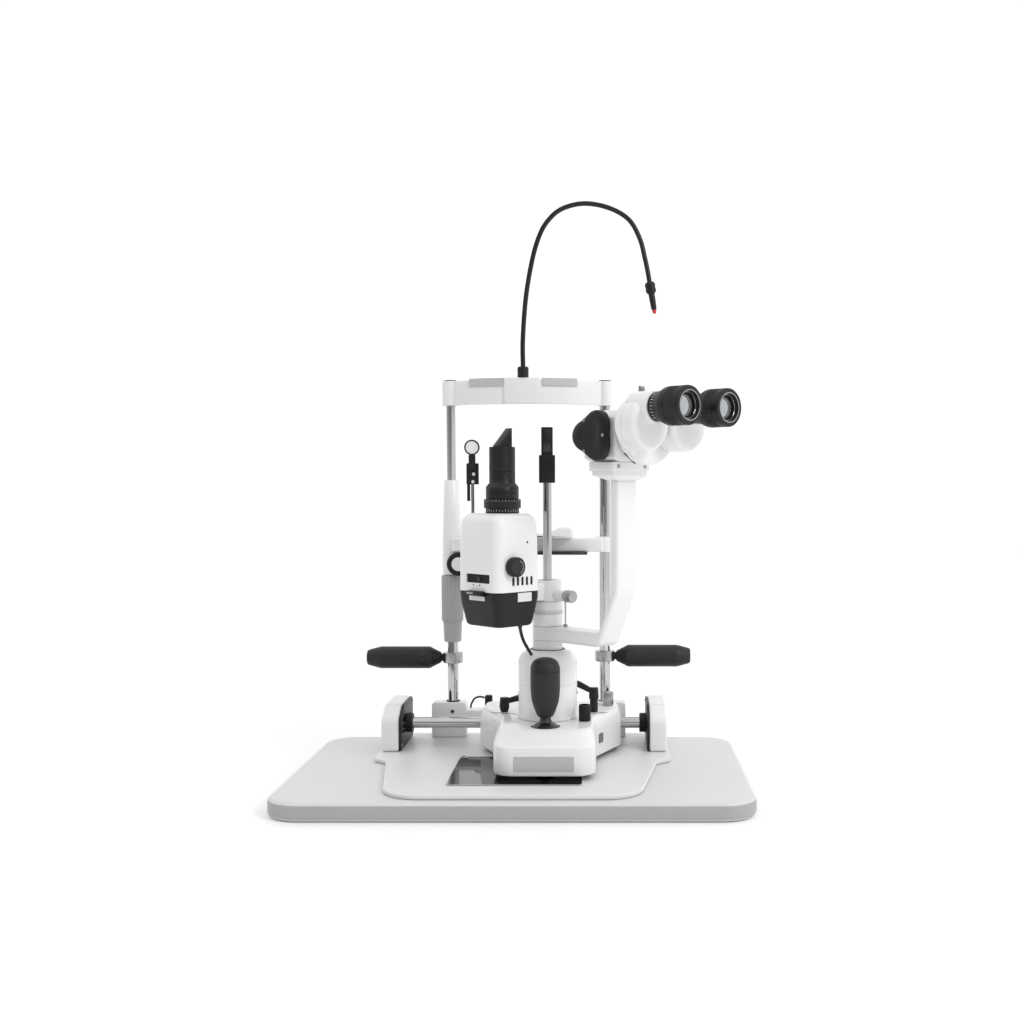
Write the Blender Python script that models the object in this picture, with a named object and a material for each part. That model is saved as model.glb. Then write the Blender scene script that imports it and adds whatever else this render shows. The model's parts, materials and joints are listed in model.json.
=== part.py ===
"""Table-mounted slit lamp: microscope, lamp tower, joystick carriage and headrest.

Metres, +Z up. The origin is the centre of the tabletop's underside, -Y faces the examiner
and +Y the patient. The rest pose has the microscope swung 45 degrees to the right, the lamp
45 degrees to the left, and the carriage a little to the right of the middle.
"""
import math

import bmesh
import bpy
from mathutils import Vector

# ---------------------------------------------------------------- driving dimensions
GAP = 0.0003  # between pieces that touch
ROUND, MEDIUM, SMALL = 36, 24, 16  # sides of round pieces

TABLE = (0.610, 0.405, 0.024)
TABLE_CORNER = 0.045
GLIDE_TOP = 0.030
PLATE_TOP = 0.0318

AXLE_Y, AXLE_Z, AXLE_R = 0.111, 0.063, 0.008
AXLE_BORE = 0.0087
GUARD_IN, GUARD_OUT = 0.1783, 0.2035
GUARD_WALL = 0.003
WHEEL_R = 0.0132
RAIL_TOP = 0.0495

CARRIAGE_X = 0.037
DECK_Z, BASE_LOW = 0.0925, 0.037
NOSE_HALF, WING_HALF = 0.0665, 0.1005
NOSE_FRONT, WING_BACK = -0.120, 0.130
STICK_Y, STICK_PIVOT_Z, DOME_R = -0.069, 0.075, 0.025

TURRET_R, TURRET_SHOULDER, TURRET_ROUND = 0.040, 0.168, 0.0182
POST_R, SPINDLE_R, HUB_BORE = 0.0204, 0.012, 0.0125
POST_LOW, ARM_LOW, ARM_HIGH = 0.112, 0.1996, 0.2181
LAMP_HUB_LOW, LAMP_HUB_HIGH = 0.2521, 0.2805

SCOPE_TURN, LAMP_TURN = math.radians(45), math.radians(-45)
OPTIC_Z = 0.471
DRUM_Z, DRUM_R = 0.480, 0.046
PRISM_X, PRISM_Z, PRISM_R = 0.0345, 0.483, 0.0325
EYE_X, EYE_Z = 0.036, 0.503
KNOB_S = 0.136  # magnification axle, from the column's axis

LAMP_S = 0.0792  # tower axis, from the column's axis
HOUSING_HALF, HOUSING_NEAR, HOUSING_FAR = 0.042, 0.048, 0.1235
HOUSING_LOW, HOUSING_HIGH = 0.2719, 0.3726
COVER_LOW = 0.2262

UPRIGHT_X, UPRIGHT_Y, UPRIGHT_R = 0.1145, 0.177, 0.008
BAND_LOW, BAND_HIGH = 0.526, 0.562
BAND_R, BAND_T, BAND_FRONT = 0.1853, 0.008, 0.130
CHIN_LOW, CHIN_HIGH = 0.310, 0.331

# Turning a piece that is drawn along +Z so that it points along another axis.
ALONG_X = (math.pi / 2, 0, math.pi / 2)  # drawn x, y, z become Y, Z, X
ALONG_FRONT = (math.pi / 2, 0, 0)  # drawn x, y, z become X, Z, -Y
ALONG_SIDE = (0, -math.pi / 2, math.pi)  # drawn x, y, z become Z, -Y, X

FINISHES = {  # colour, roughness, metallic
    "white paint": ((0.86, 0.86, 0.85), 0.35, 0.0),
    "white laminate": ((0.80, 0.80, 0.80), 0.45, 0.0),
    "black plastic": ((0.03, 0.03, 0.032), 0.45, 0.0),
    "black metal": ((0.025, 0.025, 0.027), 0.35, 0.6),
    "grey plastic": ((0.32, 0.32, 0.33), 0.5, 0.0),
    "grey rubber": ((0.5, 0.5, 0.5), 0.7, 0.0),
    "chrome": ((0.75, 0.75, 0.76), 0.12, 1.0),
    "steel": ((0.55, 0.55, 0.56), 0.3, 1.0),
    "black mirror": ((0.02, 0.02, 0.02), 0.08, 0.5),
}


# ---------------------------------------------------------------- modelling helpers
def clear_scene():
    for obj in list(bpy.data.objects):
        bpy.data.objects.remove(obj, do_unlink=True)


def material(name, finish):
    colour, roughness, metallic = FINISHES[finish]
    made = bpy.data.materials.new(f"{name} {finish}")
    made.use_nodes = True
    shader = made.node_tree.nodes["Principled BSDF"]
    shader.inputs["Base Color"].default_value = (*colour, 1)
    shader.inputs["Roughness"].default_value = roughness
    shader.inputs["Metallic"].default_value = metallic
    return made


def pivot(name, at, turn=0.0, parent=None):
    """An empty on a joint's axis, turned about Z."""
    empty = bpy.data.objects.new(name, None)
    bpy.context.scene.collection.objects.link(empty)
    empty.location, empty.rotation_euler, empty.parent = at, (0, 0, turn), parent
    return empty


def solid(name, bm, finish, parent=None, at=(0, 0, 0), turn=(0, 0, 0)):
    """A named object from a bmesh, with its own material."""
    bmesh.ops.recalc_face_normals(bm, faces=bm.faces)
    mesh = bpy.data.meshes.new(name)
    bm.to_mesh(mesh)
    bm.free()
    mesh.shade_smooth()
    mesh.set_sharp_from_angle(angle=math.radians(32))
    obj = bpy.data.objects.new(name, mesh)
    bpy.context.scene.collection.objects.link(obj)
    obj.location, obj.rotation_euler, obj.parent = at, turn, parent
    mesh.materials.append(material(name, finish))
    return obj


def combine(obj, bm, operation, at=(0, 0, 0), turn=(0, 0, 0)):
    """Cut a hidden shape from an object, or join it on; at and turn are the parent's."""
    count = len(obj.modifiers)
    tool = solid(f"{obj.name}_tool_{count}", bm, "steel", obj.parent, at, turn)
    tool.hide_render, tool.display_type = True, "WIRE"
    step = obj.modifiers.new(f"{operation.lower()} {count}", "BOOLEAN")
    step.object, step.operation = tool, operation


def cut(obj, bm, at=(0, 0, 0), turn=(0, 0, 0)):
    combine(obj, bm, "DIFFERENCE", at, turn)


def fuse(obj, bm, at=(0, 0, 0), turn=(0, 0, 0)):
    combine(obj, bm, "UNION", at, turn)


def turned(profile, segments=MEDIUM, ring=False):
    """A solid of revolution about Z from (radius, z) points.

    The profile starts and ends on the axis, or with ring it runs round a ring's section.
    """
    bm = bmesh.new()
    angles = [2 * math.pi * k / segments for k in range(segments)]
    loops = []
    for radius, z in profile:
        if radius == 0:
            loops.append([bm.verts.new((0, 0, z))])
        else:
            spots = [(radius * math.cos(a), radius * math.sin(a), z) for a in angles]
            loops.append([bm.verts.new(spot) for spot in spots])
    follow = loops[1:] + loops[:1] if ring else loops[1:]
    for low, high in zip(loops, follow):
        for i in range(segments):
            j = (i + 1) % segments
            around = (low[i % len(low)], low[j % len(low)], high[j % len(high)], high[i % len(high)])
            corners = list(dict.fromkeys(around))
            if len(corners) > 2:
                bm.faces.new(corners)
    return bm


def rod(radius, low, high, segments=MEDIUM):
    return turned([(0, low), (radius, low), (radius, high), (0, high)], segments)


def sleeve(inner, outer, low, high, segments=MEDIUM):
    return turned([(inner, low), (outer, low), (outer, high), (inner, high)], segments, ring=True)


def loft(rings):
    """A closed solid through outlines with the same number of points, as (outline, z)."""
    bm = bmesh.new()
    loops = [[bm.verts.new((x, y, z)) for x, y in outline] for outline, z in rings]
    for low, high in zip(loops, loops[1:]):
        for i in range(len(low)):
            j = (i + 1) % len(low)
            bm.faces.new((low[i], low[j], high[j], high[i]))
    bm.faces.new(loops[0][::-1])
    bm.faces.new(loops[-1])
    return bm


def prism(outline, low, high):
    return loft([(outline, low), (outline, high)])


def box(low, high):
    (x0, y0, z0), (x1, y1, z1) = low, high
    return prism([(x0, y0), (x1, y0), (x1, y1), (x0, y1)], z0, z1)


def soften(bm, width, segments=2, angle=40):
    """Round the edges that are sharper than an angle."""
    bm.normal_update()
    sharp = [e for e in bm.edges if e.calc_face_angle(0) > math.radians(angle)]
    bmesh.ops.bevel(
        bm, geom=sharp, offset=width, segments=segments, profile=0.5, affect="EDGES", clamp_overlap=True
    )
    return bm


def filleted(corners, steps=4):
    """An outline from (x, y, radius) corners, each rounded by an arc."""
    outline = []
    for k, (x, y, radius) in enumerate(corners):
        here = Vector((x, y))
        back = (Vector(corners[k - 1][:2]) - here).normalized()
        ahead = (Vector(corners[(k + 1) % len(corners)][:2]) - here).normalized()
        if radius == 0:
            outline.append((x, y))
            continue
        half = back.angle(ahead) / 2
        middle = here + (back + ahead).normalized() * radius / math.sin(half)
        start = here + back * radius / math.tan(half) - middle
        sweep = start.angle_signed(here + ahead * radius / math.tan(half) - middle)
        for i in range(steps + 1):
            a = -sweep * i / steps
            c, s = math.cos(a), math.sin(a)
            outline.append((middle.x + start.x * c - start.y * s, middle.y + start.x * s + start.y * c))
    return outline


def rectangle(x0, y0, x1, y1, radius, steps=4):
    return filleted([(x0, y0, radius), (x1, y0, radius), (x1, y1, radius), (x0, y1, radius)], steps)


def mirrored(half):
    """Corners of a closed outline from its right half, listed front to back."""
    return half + [(-x, y, r) for x, y, r in reversed(half)]


def swept_arc(section, radius, centre, start, stop, steps):
    """A (radial, z) section carried along an arc in plan; angle 0 points to -Y."""
    bm = bmesh.new()
    loops = []
    for k in range(steps + 1):
        a = start + (stop - start) * k / steps
        across, along = math.sin(a), -math.cos(a)
        loop = []
        for r, z in section:
            reach = radius + r
            loop.append(bm.verts.new((centre[0] + reach * across, centre[1] + reach * along, z)))
        loops.append(loop)
    for low, high in zip(loops, loops[1:]):
        for i in range(len(low)):
            j = (i + 1) % len(low)
            bm.faces.new((low[i], low[j], high[j], high[i]))
    bm.faces.new(loops[0][::-1])
    bm.faces.new(loops[-1])
    return bm


def cable(name, points, radius, finish, parent=None, resolution=2):
    """A capped round tube along a list of points."""
    curve = bpy.data.curves.new(name, "CURVE")
    curve.dimensions, curve.bevel_depth, curve.bevel_resolution = "3D", radius, resolution
    curve.use_fill_caps = True
    spline = curve.splines.new("POLY")
    spline.points.add(len(points) - 1)
    for spot, place in zip(spline.points, points):
        spot.co = (*place, 1)
    obj = bpy.data.objects.new(name, curve)
    bpy.context.scene.collection.objects.link(obj)
    obj.parent = parent
    curve.materials.append(material(name, finish))
    return obj


def smooth_route(guides, per_span):
    """Points on a Catmull-Rom curve through the guides."""
    ends = [2 * Vector(guides[0]) - Vector(guides[1]), 2 * Vector(guides[-1]) - Vector(guides[-2])]
    knots = [ends[0], *map(Vector, guides), ends[1]]
    route = []
    for a, b, c, d in zip(knots, knots[1:], knots[2:], knots[3:]):
        for k in range(per_span):
            t = k / per_span
            bend = (2 * a - 5 * b + 4 * c - d) * t * t + (3 * b - a - 3 * c + d) * t ** 3
            route.append((2 * b + (c - a) * t + bend) / 2)
    return [*route, knots[-2]]


# ---------------------------------------------------------------- table and rails
def build_table():
    width, depth, thick = TABLE
    edge = rectangle(-width / 2, -depth / 2, width / 2, depth / 2, TABLE_CORNER, 8)
    solid("tabletop", soften(prism(edge, 0, thick), 0.007, 3), "white laminate")
    half = [(0.158, -0.187, 0.050), (0.187, 0.006, 0.020), (0.207, 0.022, 0.014)]
    shape = mirrored([*half, (0.207, 0.200, 0.010)])
    solid("glide_plate", soften(prism(filleted(shape, 6), thick + GAP, GLIDE_TOP), 0.002), "white paint")
    inlay = rectangle(-0.086, -0.138, 0.086, 0.024, 0.003, 2)
    solid("friction_plate", prism(inlay, GLIDE_TOP + GAP, PLATE_TOP), "black mirror")


def guard_outline(inset):
    """The guard's side view as (Y, Z): upright front, sloped shoulder, flat top."""
    low = GLIDE_TOP + GAP + inset
    front, back, top = 0.061 + inset, 0.175 - inset, 0.0935 - inset
    corners = [
        (front, low, 0),
        (back, low, 0),
        (back, top, 0.010),
        (0.092 + inset / 2, top, 0.018),
        (front, 0.077 - inset / 2, 0.012),
    ]
    return filleted(corners, 4)


def build_guard(side, word):
    def across(near, far):
        return (near, far) if side > 0 else (-far, -near)

    shell = soften(prism(guard_outline(0), *across(GUARD_IN, GUARD_OUT)), 0.004)
    guard = solid(f"rail_guard_{word}", shell, "white paint", turn=ALONG_X)
    hollow = prism(guard_outline(GUARD_WALL), *across(GUARD_IN - 0.001, GUARD_OUT - GUARD_WALL))
    cut(guard, hollow, turn=ALONG_X)

    plate = prism(guard_outline(0.001), *across(0.1752, GUARD_IN - GAP))
    cover = solid(f"rail_cover_{word}", plate, "black plastic", turn=ALONG_X)
    slot = rectangle(0.0680, AXLE_Z - 0.0095, 0.1540, AXLE_Z + 0.0095, 0.009)
    cut(cover, prism(slot, *across(0.174, 0.180)), turn=ALONG_X)

    low, high = across(0.1815, GUARD_OUT - GUARD_WALL / 2)
    rail = box((low, 0.062, GLIDE_TOP + GUARD_WALL / 2), (high, 0.1735, RAIL_TOP))
    fuse(guard, rail)

    guide = sleeve(AXLE_BORE, 0.014, *across(0.165, 0.1749))
    solid(f"axle_guide_{word}", guide, "black plastic", at=(0, AXLE_Y, AXLE_Z), turn=ALONG_X)


def build_rails():
    for side, word in ((-1, "left"), (1, "right")):
        build_guard(side, word)
    wheel = [(AXLE_R, 0.1825), (0.0120, 0.1825), (WHEEL_R, 0.1840), (WHEEL_R, 0.1950)]
    wheel += [(0.0120, 0.1965), (0, 0.1965)]
    axle = [(r, -x) for r, x in reversed(wheel)] + wheel
    solid("cross_shaft", turned(axle), "chrome", at=(0, AXLE_Y, AXLE_Z), turn=ALONG_X)


# ---------------------------------------------------------------- carriage
def base_outline(inset, front=0.0):
    """Plan of the carriage: a rounded nose that flares to two wings round the cross shaft."""
    nose, wing = NOSE_HALF - inset, WING_HALF - inset
    half = [
        (nose, NOSE_FRONT + inset + front, 0.026),
        (nose, -0.004, 0.014),
        (wing, 0.074, 0.014),
        (wing, WING_BACK - inset, 0.014),
    ]
    return filleted(mirrored(half), 5)


def build_base(carriage):
    rise = [(0.0025, 0, BASE_LOW), (0, 0, BASE_LOW + 0.003), (0, 0, 0.0740), (0.0008, 0.006, 0.0785)]
    rise += [(0.0025, 0.014, 0.0850), (0.0050, 0.019, 0.0900), (0.0080, 0.022, DECK_Z)]
    body = loft([(base_outline(inset, front), z) for inset, front, z in rise])
    base = solid("carriage_housing", body, "white paint", carriage)
    room = [(0.004, 0, BASE_LOW - 0.001), (0.004, 0, 0.0700), (0.012, 0.026, 0.0885)]
    cut(base, loft([(base_outline(inset, front), z) for inset, front, z in room]))
    cut(base, rod(AXLE_BORE, -0.12, 0.12), at=(0, AXLE_Y, AXLE_Z), turn=ALONG_X)
    mouth = [(0, 0.080), (0.0248, 0.080), (0.0248, 0.084), (0.0187, 0.0935), (0, 0.0935)]
    cut(base, turned(mouth, ROUND), at=(0, STICK_Y, 0))


def build_turret(carriage):
    def shoulder(radius, degrees):
        a = math.radians(degrees)
        return 0.0218 + radius * math.cos(a), TURRET_SHOULDER + radius * math.sin(a)

    thick = 0.003
    outer = [shoulder(TURRET_ROUND, 15 * k) for k in range(7)]
    inner = [shoulder(TURRET_ROUND - thick, 22.5 * k) for k in range(4, -1, -1)]
    foot = DECK_Z + GAP
    lip = [(TURRET_R - thick, foot), (TURRET_R + 0.0012, foot), (TURRET_R + 0.0012, foot + 0.003)]
    lip += [(TURRET_R, foot + 0.0045)]
    solid("turret_cover", turned([*lip, *outer, *inner], ROUND, ring=True), "white paint", carriage)


def build_joystick(carriage):
    stick = pivot("joystick_pivot", (0, STICK_Y, STICK_PIVOT_Z), parent=carriage)
    ring = sleeve(0.0072, 0.0105, -0.003, 0.003, SMALL)
    solid("joystick_gimbal", ring, "steel", stick)

    def on_ball(radius, degrees):
        a = math.radians(degrees)
        return radius * math.sin(a), radius * math.cos(a)

    foot_r = STICK_PIVOT_Z - PLATE_TOP - GAP
    sole = [(0, -foot_r)]
    for degrees in (6, 12, 17):
        r, z = on_ball(foot_r, degrees)
        sole.append((r, -z))
    sole += [(0.0125, -0.036), (0.0045, -0.032), (0.0045, 0.018)]
    dome = [on_ball(DOME_R - 0.0025, a) for a in (20, 34, 48, 62)]
    dome += [on_ball(DOME_R, a) for a in (62, 52, 42, 32, 22)]
    neck = [(0.0078, 0.0255), (0.0070, 0.031), (0.0045, 0.031), (0.0045, 0.060), (0, 0.060)]
    solid("joystick_stem", turned([*sole, *dome, *neck]), "black plastic", stick)

    grip = [(0.0050, 0.0313), (0.0105, 0.0313), (0.0125, 0.036), (0.0150, 0.043), (0.0178, 0.052)]
    grip += [(0.0190, 0.062), (0.0195, 0.074), (0.0195, 0.0900), (0.0190, 0.0904)]
    grip += [(0.0190, 0.0908), (0.0195, 0.0912)]
    grip += [(0.0193, 0.096), (0.0175, 0.1015), (0.0135, 0.1060), (0.007, 0.1085), (0, 0.1090)]
    bore = [(0, 0.0610), (0.0050, 0.0610)]
    solid("joystick_grip", turned([*bore, *grip]), "black plastic", stick)


def ratchet_lever(name, carriage, x, stem, direction, rise):
    """A clamping lever: steel stem, conical hub and an offset handle, as one piece."""
    lever = pivot(f"{name}_pivot", (x, 0.036, DECK_Z + GAP), direction, carriage)
    hub = [(0, 0), (0.0052, 0), (0.0052, stem), (0.0062, stem), (0.0070, stem + 0.004)]
    hub += [(0.0062, stem + 0.017), (0, stem + 0.018)]
    piece = solid(name, turned(hub, SMALL), "black plastic", lever)
    handle = [(0, 0), (0.0036, 0), (0.0045, 0.022), (0.0042, 0.029), (0, 0.031)]
    fuse(piece, turned(handle, 12), at=(0.001, 0, stem + 0.011), turn=(0, math.pi / 2 - rise, 0))


def knurled(radius, height, chamfer, ribs, depth):
    """A knob with a ribbed rim, drawn upward from z = 0."""
    outline = []
    for k in range(4 * ribs):
        r = radius - (depth if k % 4 > 1 else 0)
        a = 2 * math.pi * k / (4 * ribs)
        outline.append((r * math.cos(a), r * math.sin(a)))
    slim = [(x * (1 - chamfer / radius), y * (1 - chamfer / radius)) for x, y in outline]
    return loft([(slim, 0), (outline, chamfer), (outline, height - chamfer), (slim, height)])


def build_controls(carriage):
    ratchet_lever("lock_lever_left", carriage, -0.0625, 0.003, math.radians(35), math.radians(8))
    ratchet_lever("lock_lever_right", carriage, 0.0625, 0.017, math.radians(150), math.radians(20))
    dimmer = pivot("dimmer_pivot", (0.0510, -0.031, DECK_Z + GAP), parent=carriage)
    solid("dimmer_knob", knurled(0.0080, 0.0220, 0.001, 10, 0.0005), "black plastic", dimmer)
    lock = pivot("carriage_lock_pivot", (0.0825, 0.088, DECK_Z + GAP), parent=carriage)
    solid("carriage_lock_knob", knurled(0.0076, 0.0195, 0.0012, 12, 0.0005), "steel", lock)


# ---------------------------------------------------------------- column
def build_column(column):
    low, high, seam = ARM_HIGH + GAP, LAMP_HUB_LOW - GAP, 0.2343
    post = [(0, POST_LOW), (POST_R, POST_LOW), (POST_R, ARM_LOW - GAP), (SPINDLE_R, ARM_LOW - GAP)]
    post += [(SPINDLE_R, low), (POST_R, low), (POST_R, seam), (POST_R - 0.0008, seam + 0.0004)]
    post += [(POST_R, seam + 0.0008), (POST_R, high), (SPINDLE_R, high), (SPINDLE_R, 0.2798)]
    post += [(0.0064, 0.2798), (0.0064, 0.252), (0, 0.252)]
    solid("column_post", turned(post, ROUND), "white paint", column)
    test = solid("focus_rod", rod(0.006, 0.2525, 0.4200, SMALL), "chrome", column)
    fuse(test, soften(box((-0.0107, -0.008, 0.412), (0.0107, 0.008, 0.4495)), 0.001, 1))
    fuse(test, box((-0.0077, -0.004, 0.449), (0.0077, 0.004, 0.487)))


# ---------------------------------------------------------------- microscope
def build_microscope_arm(scope):
    profile = [
        (0.004, ARM_LOW, 0),
        (0.1165, ARM_LOW, 0.014),
        (0.1515, 0.2740, 0.050),
        (0.1515, 0.4160, 0),
        (0.1365, 0.4160, 0),
        (0.1365, 0.2630, 0.040),
        (0.1155, ARM_HIGH, 0.012),
        (0.004, ARM_HIGH, 0),
    ]
    side = prism([(z, s) for s, z in filleted(profile, 5)], -0.018, 0.018)
    arm = solid("microscope_arm", soften(side, 0.004), "white paint", scope, turn=ALONG_SIDE)
    fuse(arm, rod(POST_R, ARM_LOW, ARM_HIGH, ROUND))
    cut(arm, rod(HUB_BORE, ARM_LOW - 0.01, ARM_HIGH + 0.01, ROUND))
    low = rectangle(-0.020, -0.1525, 0.020, -0.1355, 0.002, 2)
    high = rectangle(-0.031, -0.157, 0.031, -0.118, 0.002, 2)
    fuse(arm, loft([(low, 0.4150), (high, 0.4215), (high, 0.4277)]))
    plate = rectangle(-0.034, -0.159, 0.034, -0.115, 0.003, 2)
    fuse(arm, prism(plate, 0.4270, 0.4385))


def build_magnifier(scope):
    low, high = 0.4388, 0.5035
    half = [(0.024, low, 0.003), (0.034, low + 0.004, 0.003), (0.034, high - 0.010, 0.006)]
    half += [(0.022, high, 0.006)]
    shell = prism(filleted(mirrored(half), 2), 0.1076, 0.163)
    head = solid("magnifier_housing", shell, "white paint", scope, turn=ALONG_FRONT)
    cut(head, box((-0.031, -0.160, low + 0.003), (0.031, -0.1106, high - 0.010)))
    cut(head, rod(0.0078, -0.04, 0.04), at=(0, -KNOB_S, OPTIC_Z), turn=ALONG_X)
    for side in (-1, 1):
        cut(head, rod(0.0095, 0.1, 0.17, SMALL), at=(side * 0.0115, 0, OPTIC_Z), turn=ALONG_FRONT)

    axle = pivot("magnification_pivot", (0, -KNOB_S, OPTIC_Z), parent=scope)
    drum = [(0, -0.0410), (0.007, -0.0410), (0.007, -0.027), (0.018, -0.027), (0.018, 0.027)]
    drum += [(0.007, 0.027), (0.007, 0.0410), (0, 0.0410)]
    knobs = solid("magnification_knobs", turned(drum, SMALL), "black plastic", axle, turn=ALONG_X)
    for side in (-1, 1):
        rims = ((0.93, 0.0400), (1.0, 0.0412), (1.0, 0.0487), (0.90, 0.0520))
        stack = [(lobed(0.0295 * scale, 0.155, 60), side * depth) for scale, depth in rims]
        fuse(knobs, loft(stack), turn=ALONG_X)

    ring = [(0, 0.1012), (0.0190, 0.1030), (0.0190, 0.0985), (0.0225, 0.0985), (0.0235, 0.1005)]
    ring += [(0.0235, 0.1073), (0, 0.1073)]
    solid("objective", turned(ring), "black metal", scope, (0, 0, OPTIC_Z), ALONG_FRONT)


def lobed(radius, swell, count):
    """A three-lobed outline."""
    outline = []
    for k in range(count):
        a = 2 * math.pi * k / count
        r = radius * (1 + swell * math.cos(3 * a))
        outline.append((r * math.cos(a), r * math.sin(a)))
    return outline


def build_binocular(scope):
    drum = [(0, 0.1633), (0.030, 0.1633), (0.0360, 0.1650), (0.0393, 0.1706), (0.0440, 0.1765)]
    drum += [(DRUM_R, 0.1810), (DRUM_R, 0.1900), (0.0445, 0.1930), (0, 0.1930)]
    body = solid("binocular_body", turned(drum, ROUND), "white paint", scope, (0, 0, DRUM_Z), ALONG_FRONT)
    fuse(body, rod(0.0042, 0.030, DRUM_R + 0.007, SMALL), at=(0, -0.176, DRUM_Z))
    for side, word in ((-1, "left"), (1, "right")):
        prism_at = pivot(f"prism_pivot_{word}", (side * PRISM_X, 0, PRISM_Z), parent=scope)
        shell = [(0, 0.1933), (0.0310, 0.1933), (PRISM_R, 0.1950), (PRISM_R, 0.2215)]
        shell += [(0.0285, 0.2262), (0, 0.2262)]
        name = f"prism_housing_{word}"
        housing = solid(name, turned(shell, ROUND), "white paint", prism_at, turn=ALONG_FRONT)
        tube = rod(0.0195, 0.2000, 0.2355)
        fuse(housing, tube, (side * (EYE_X - PRISM_X), 0, EYE_Z - PRISM_Z), ALONG_FRONT)
        eye_at = pivot(f"eyepiece_pivot_{word}", (side * EYE_X, 0, EYE_Z), parent=scope)
        barrel = [(0, 0.2358), (0.0178, 0.2358), (0.0185, 0.2440), (0.0225, 0.2545), (0.0235, 0.2580)]
        barrel += [(0.0235, 0.2850), (0.0225, 0.2880), (0.0165, 0.2880), (0.0155, 0.2820), (0, 0.2835)]
        solid(f"eyepiece_{word}", turned(barrel, 28), "black plastic", eye_at, turn=ALONG_FRONT)


# ---------------------------------------------------------------- lamp
def housing_outline(inset):
    edge = HOUSING_HALF - inset
    return rectangle(-edge, -HOUSING_FAR + inset, edge, -HOUSING_NEAR - inset, 0.013 - inset / 2, 4)


def build_lamp_arm(lamp):
    hub = sleeve(HUB_BORE, 0.019, LAMP_HUB_LOW, LAMP_HUB_HIGH, ROUND)
    arm = solid("lamp_arm", hub, "white paint", lamp)
    fuse(arm, soften(box((-0.0135, -HOUSING_NEAR + GAP, 0.2545), (0.0135, -0.0165, 0.2780)), 0.002, 1))
    fuse(arm, rod(0.0072, 0.0165, 0.036, SMALL), at=(0, 0, 0.2605), turn=ALONG_X)
    clamp = pivot("arm_lock_pivot", (0, 0, 0.2605), parent=lamp)
    screw = knurled(0.0082, 0.0145, 0.0012, 10, 0.0005)
    solid("arm_lock_knob", screw, "steel", clamp, (0.0363, 0, 0), ALONG_X)


def build_lamp_housing(lamp):
    steps = [(0, HOUSING_LOW), (0.0005, 0.3400), (0.0015, 0.3600), (0.0030, 0.3655), (0.0110, HOUSING_HIGH)]
    shell = loft([(housing_outline(inset), z) for inset, z in steps])
    housing = solid("lamp_housing", shell, "white paint", lamp)
    cut(housing, loft([(housing_outline(0.003), HOUSING_LOW - 0.001), (housing_outline(0.0055), 0.3620)]))
    fuse(housing, rod(0.0216, HOUSING_HIGH - 0.004, 0.3790, ROUND), at=(0, -LAMP_S, 0))
    cut(housing, rod(0.0125, HOUSING_HIGH - 0.020, 0.3900), at=(0, -LAMP_S, 0))
    for k in range(5):
        s = 0.0660 + 0.0077 * k
        cut(housing, box((0.036, -s - 0.0011, 0.2800), (0.045, -s + 0.0011, 0.2915)))

    steps = [(0.0085, COVER_LOW), (0.0070, 0.2285), (0.0040, 0.2420), (0.0008, 0.2580), (0, 0.2640)]
    tray = loft([(housing_outline(inset), z) for inset, z in [*steps, (0, HOUSING_LOW - GAP)]])
    cover = solid("lamp_cover", tray, "black plastic", lamp)
    inside = [(0.0115, 0.2300), (0.003, 0.2620), (0.003, 0.2725)]
    cut(cover, loft([(housing_outline(inset), z) for inset, z in inside]))
    cut(cover, box((-0.0155, -0.126, 0.2672), (0.0200, -0.118, 0.2725)))

    module = solid("led_module", box((-0.020, -0.101, 0.2350), (0.020, -0.060, 0.2950)), "steel", lamp)
    fuse(module, rod(0.015, 0.2900, 0.3560, SMALL), at=(0, -LAMP_S, 0))


def build_lamp_controls(lamp):
    width = pivot("slit_width_pivot", (0, -0.098, 0.3048), parent=lamp)
    knob = knurled(0.0128, 0.0105, 0.0012, 14, 0.0006)
    solid("slit_width_knob", knob, "black plastic", width, (HOUSING_HALF + GAP, 0, 0), ALONG_X)
    bar = soften(box((-0.0135, -0.1315, 0.2677), (0.0180, -HOUSING_FAR - GAP, 0.2735)), 0.0012, 1)
    lever = solid("filter_lever", bar, "black plastic", lamp)
    fuse(lever, box((-0.002, -0.125, 0.2680), (0.0065, -0.1170, 0.2708)))


def build_lamp_tower(lamp):
    tower = pivot("tower_axis", (0, -LAMP_S, 0), parent=lamp)
    ring = sleeve(0.0165, 0.0242, 0.3793, 0.3908, ROUND)
    solid("slit_ring", ring, "black plastic", tower)
    body = [(0, 0.3730), (0.0120, 0.3730), (0.0120, 0.3793), (0.0160, 0.3793), (0.0160, 0.3911)]
    body += [(0.0216, 0.3911), (0.0216, 0.4065), (0.0175, 0.4115), (0.0170, 0.4125)]
    body += [(0.0170, 0.4589), (0, 0.4589)]
    column = solid("tower_body", turned(body, 28), "black metal", tower)
    side = [(0.0110, 0.4570), (0.0110, 0.4603), (-0.0108, 0.4836), (-0.0125, 0.4836), (-0.0125, 0.4570)]
    wedge = prism([(z, s) for s, z in side], -0.0056, 0.0056)
    fuse(column, wedge, turn=ALONG_SIDE)


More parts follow.
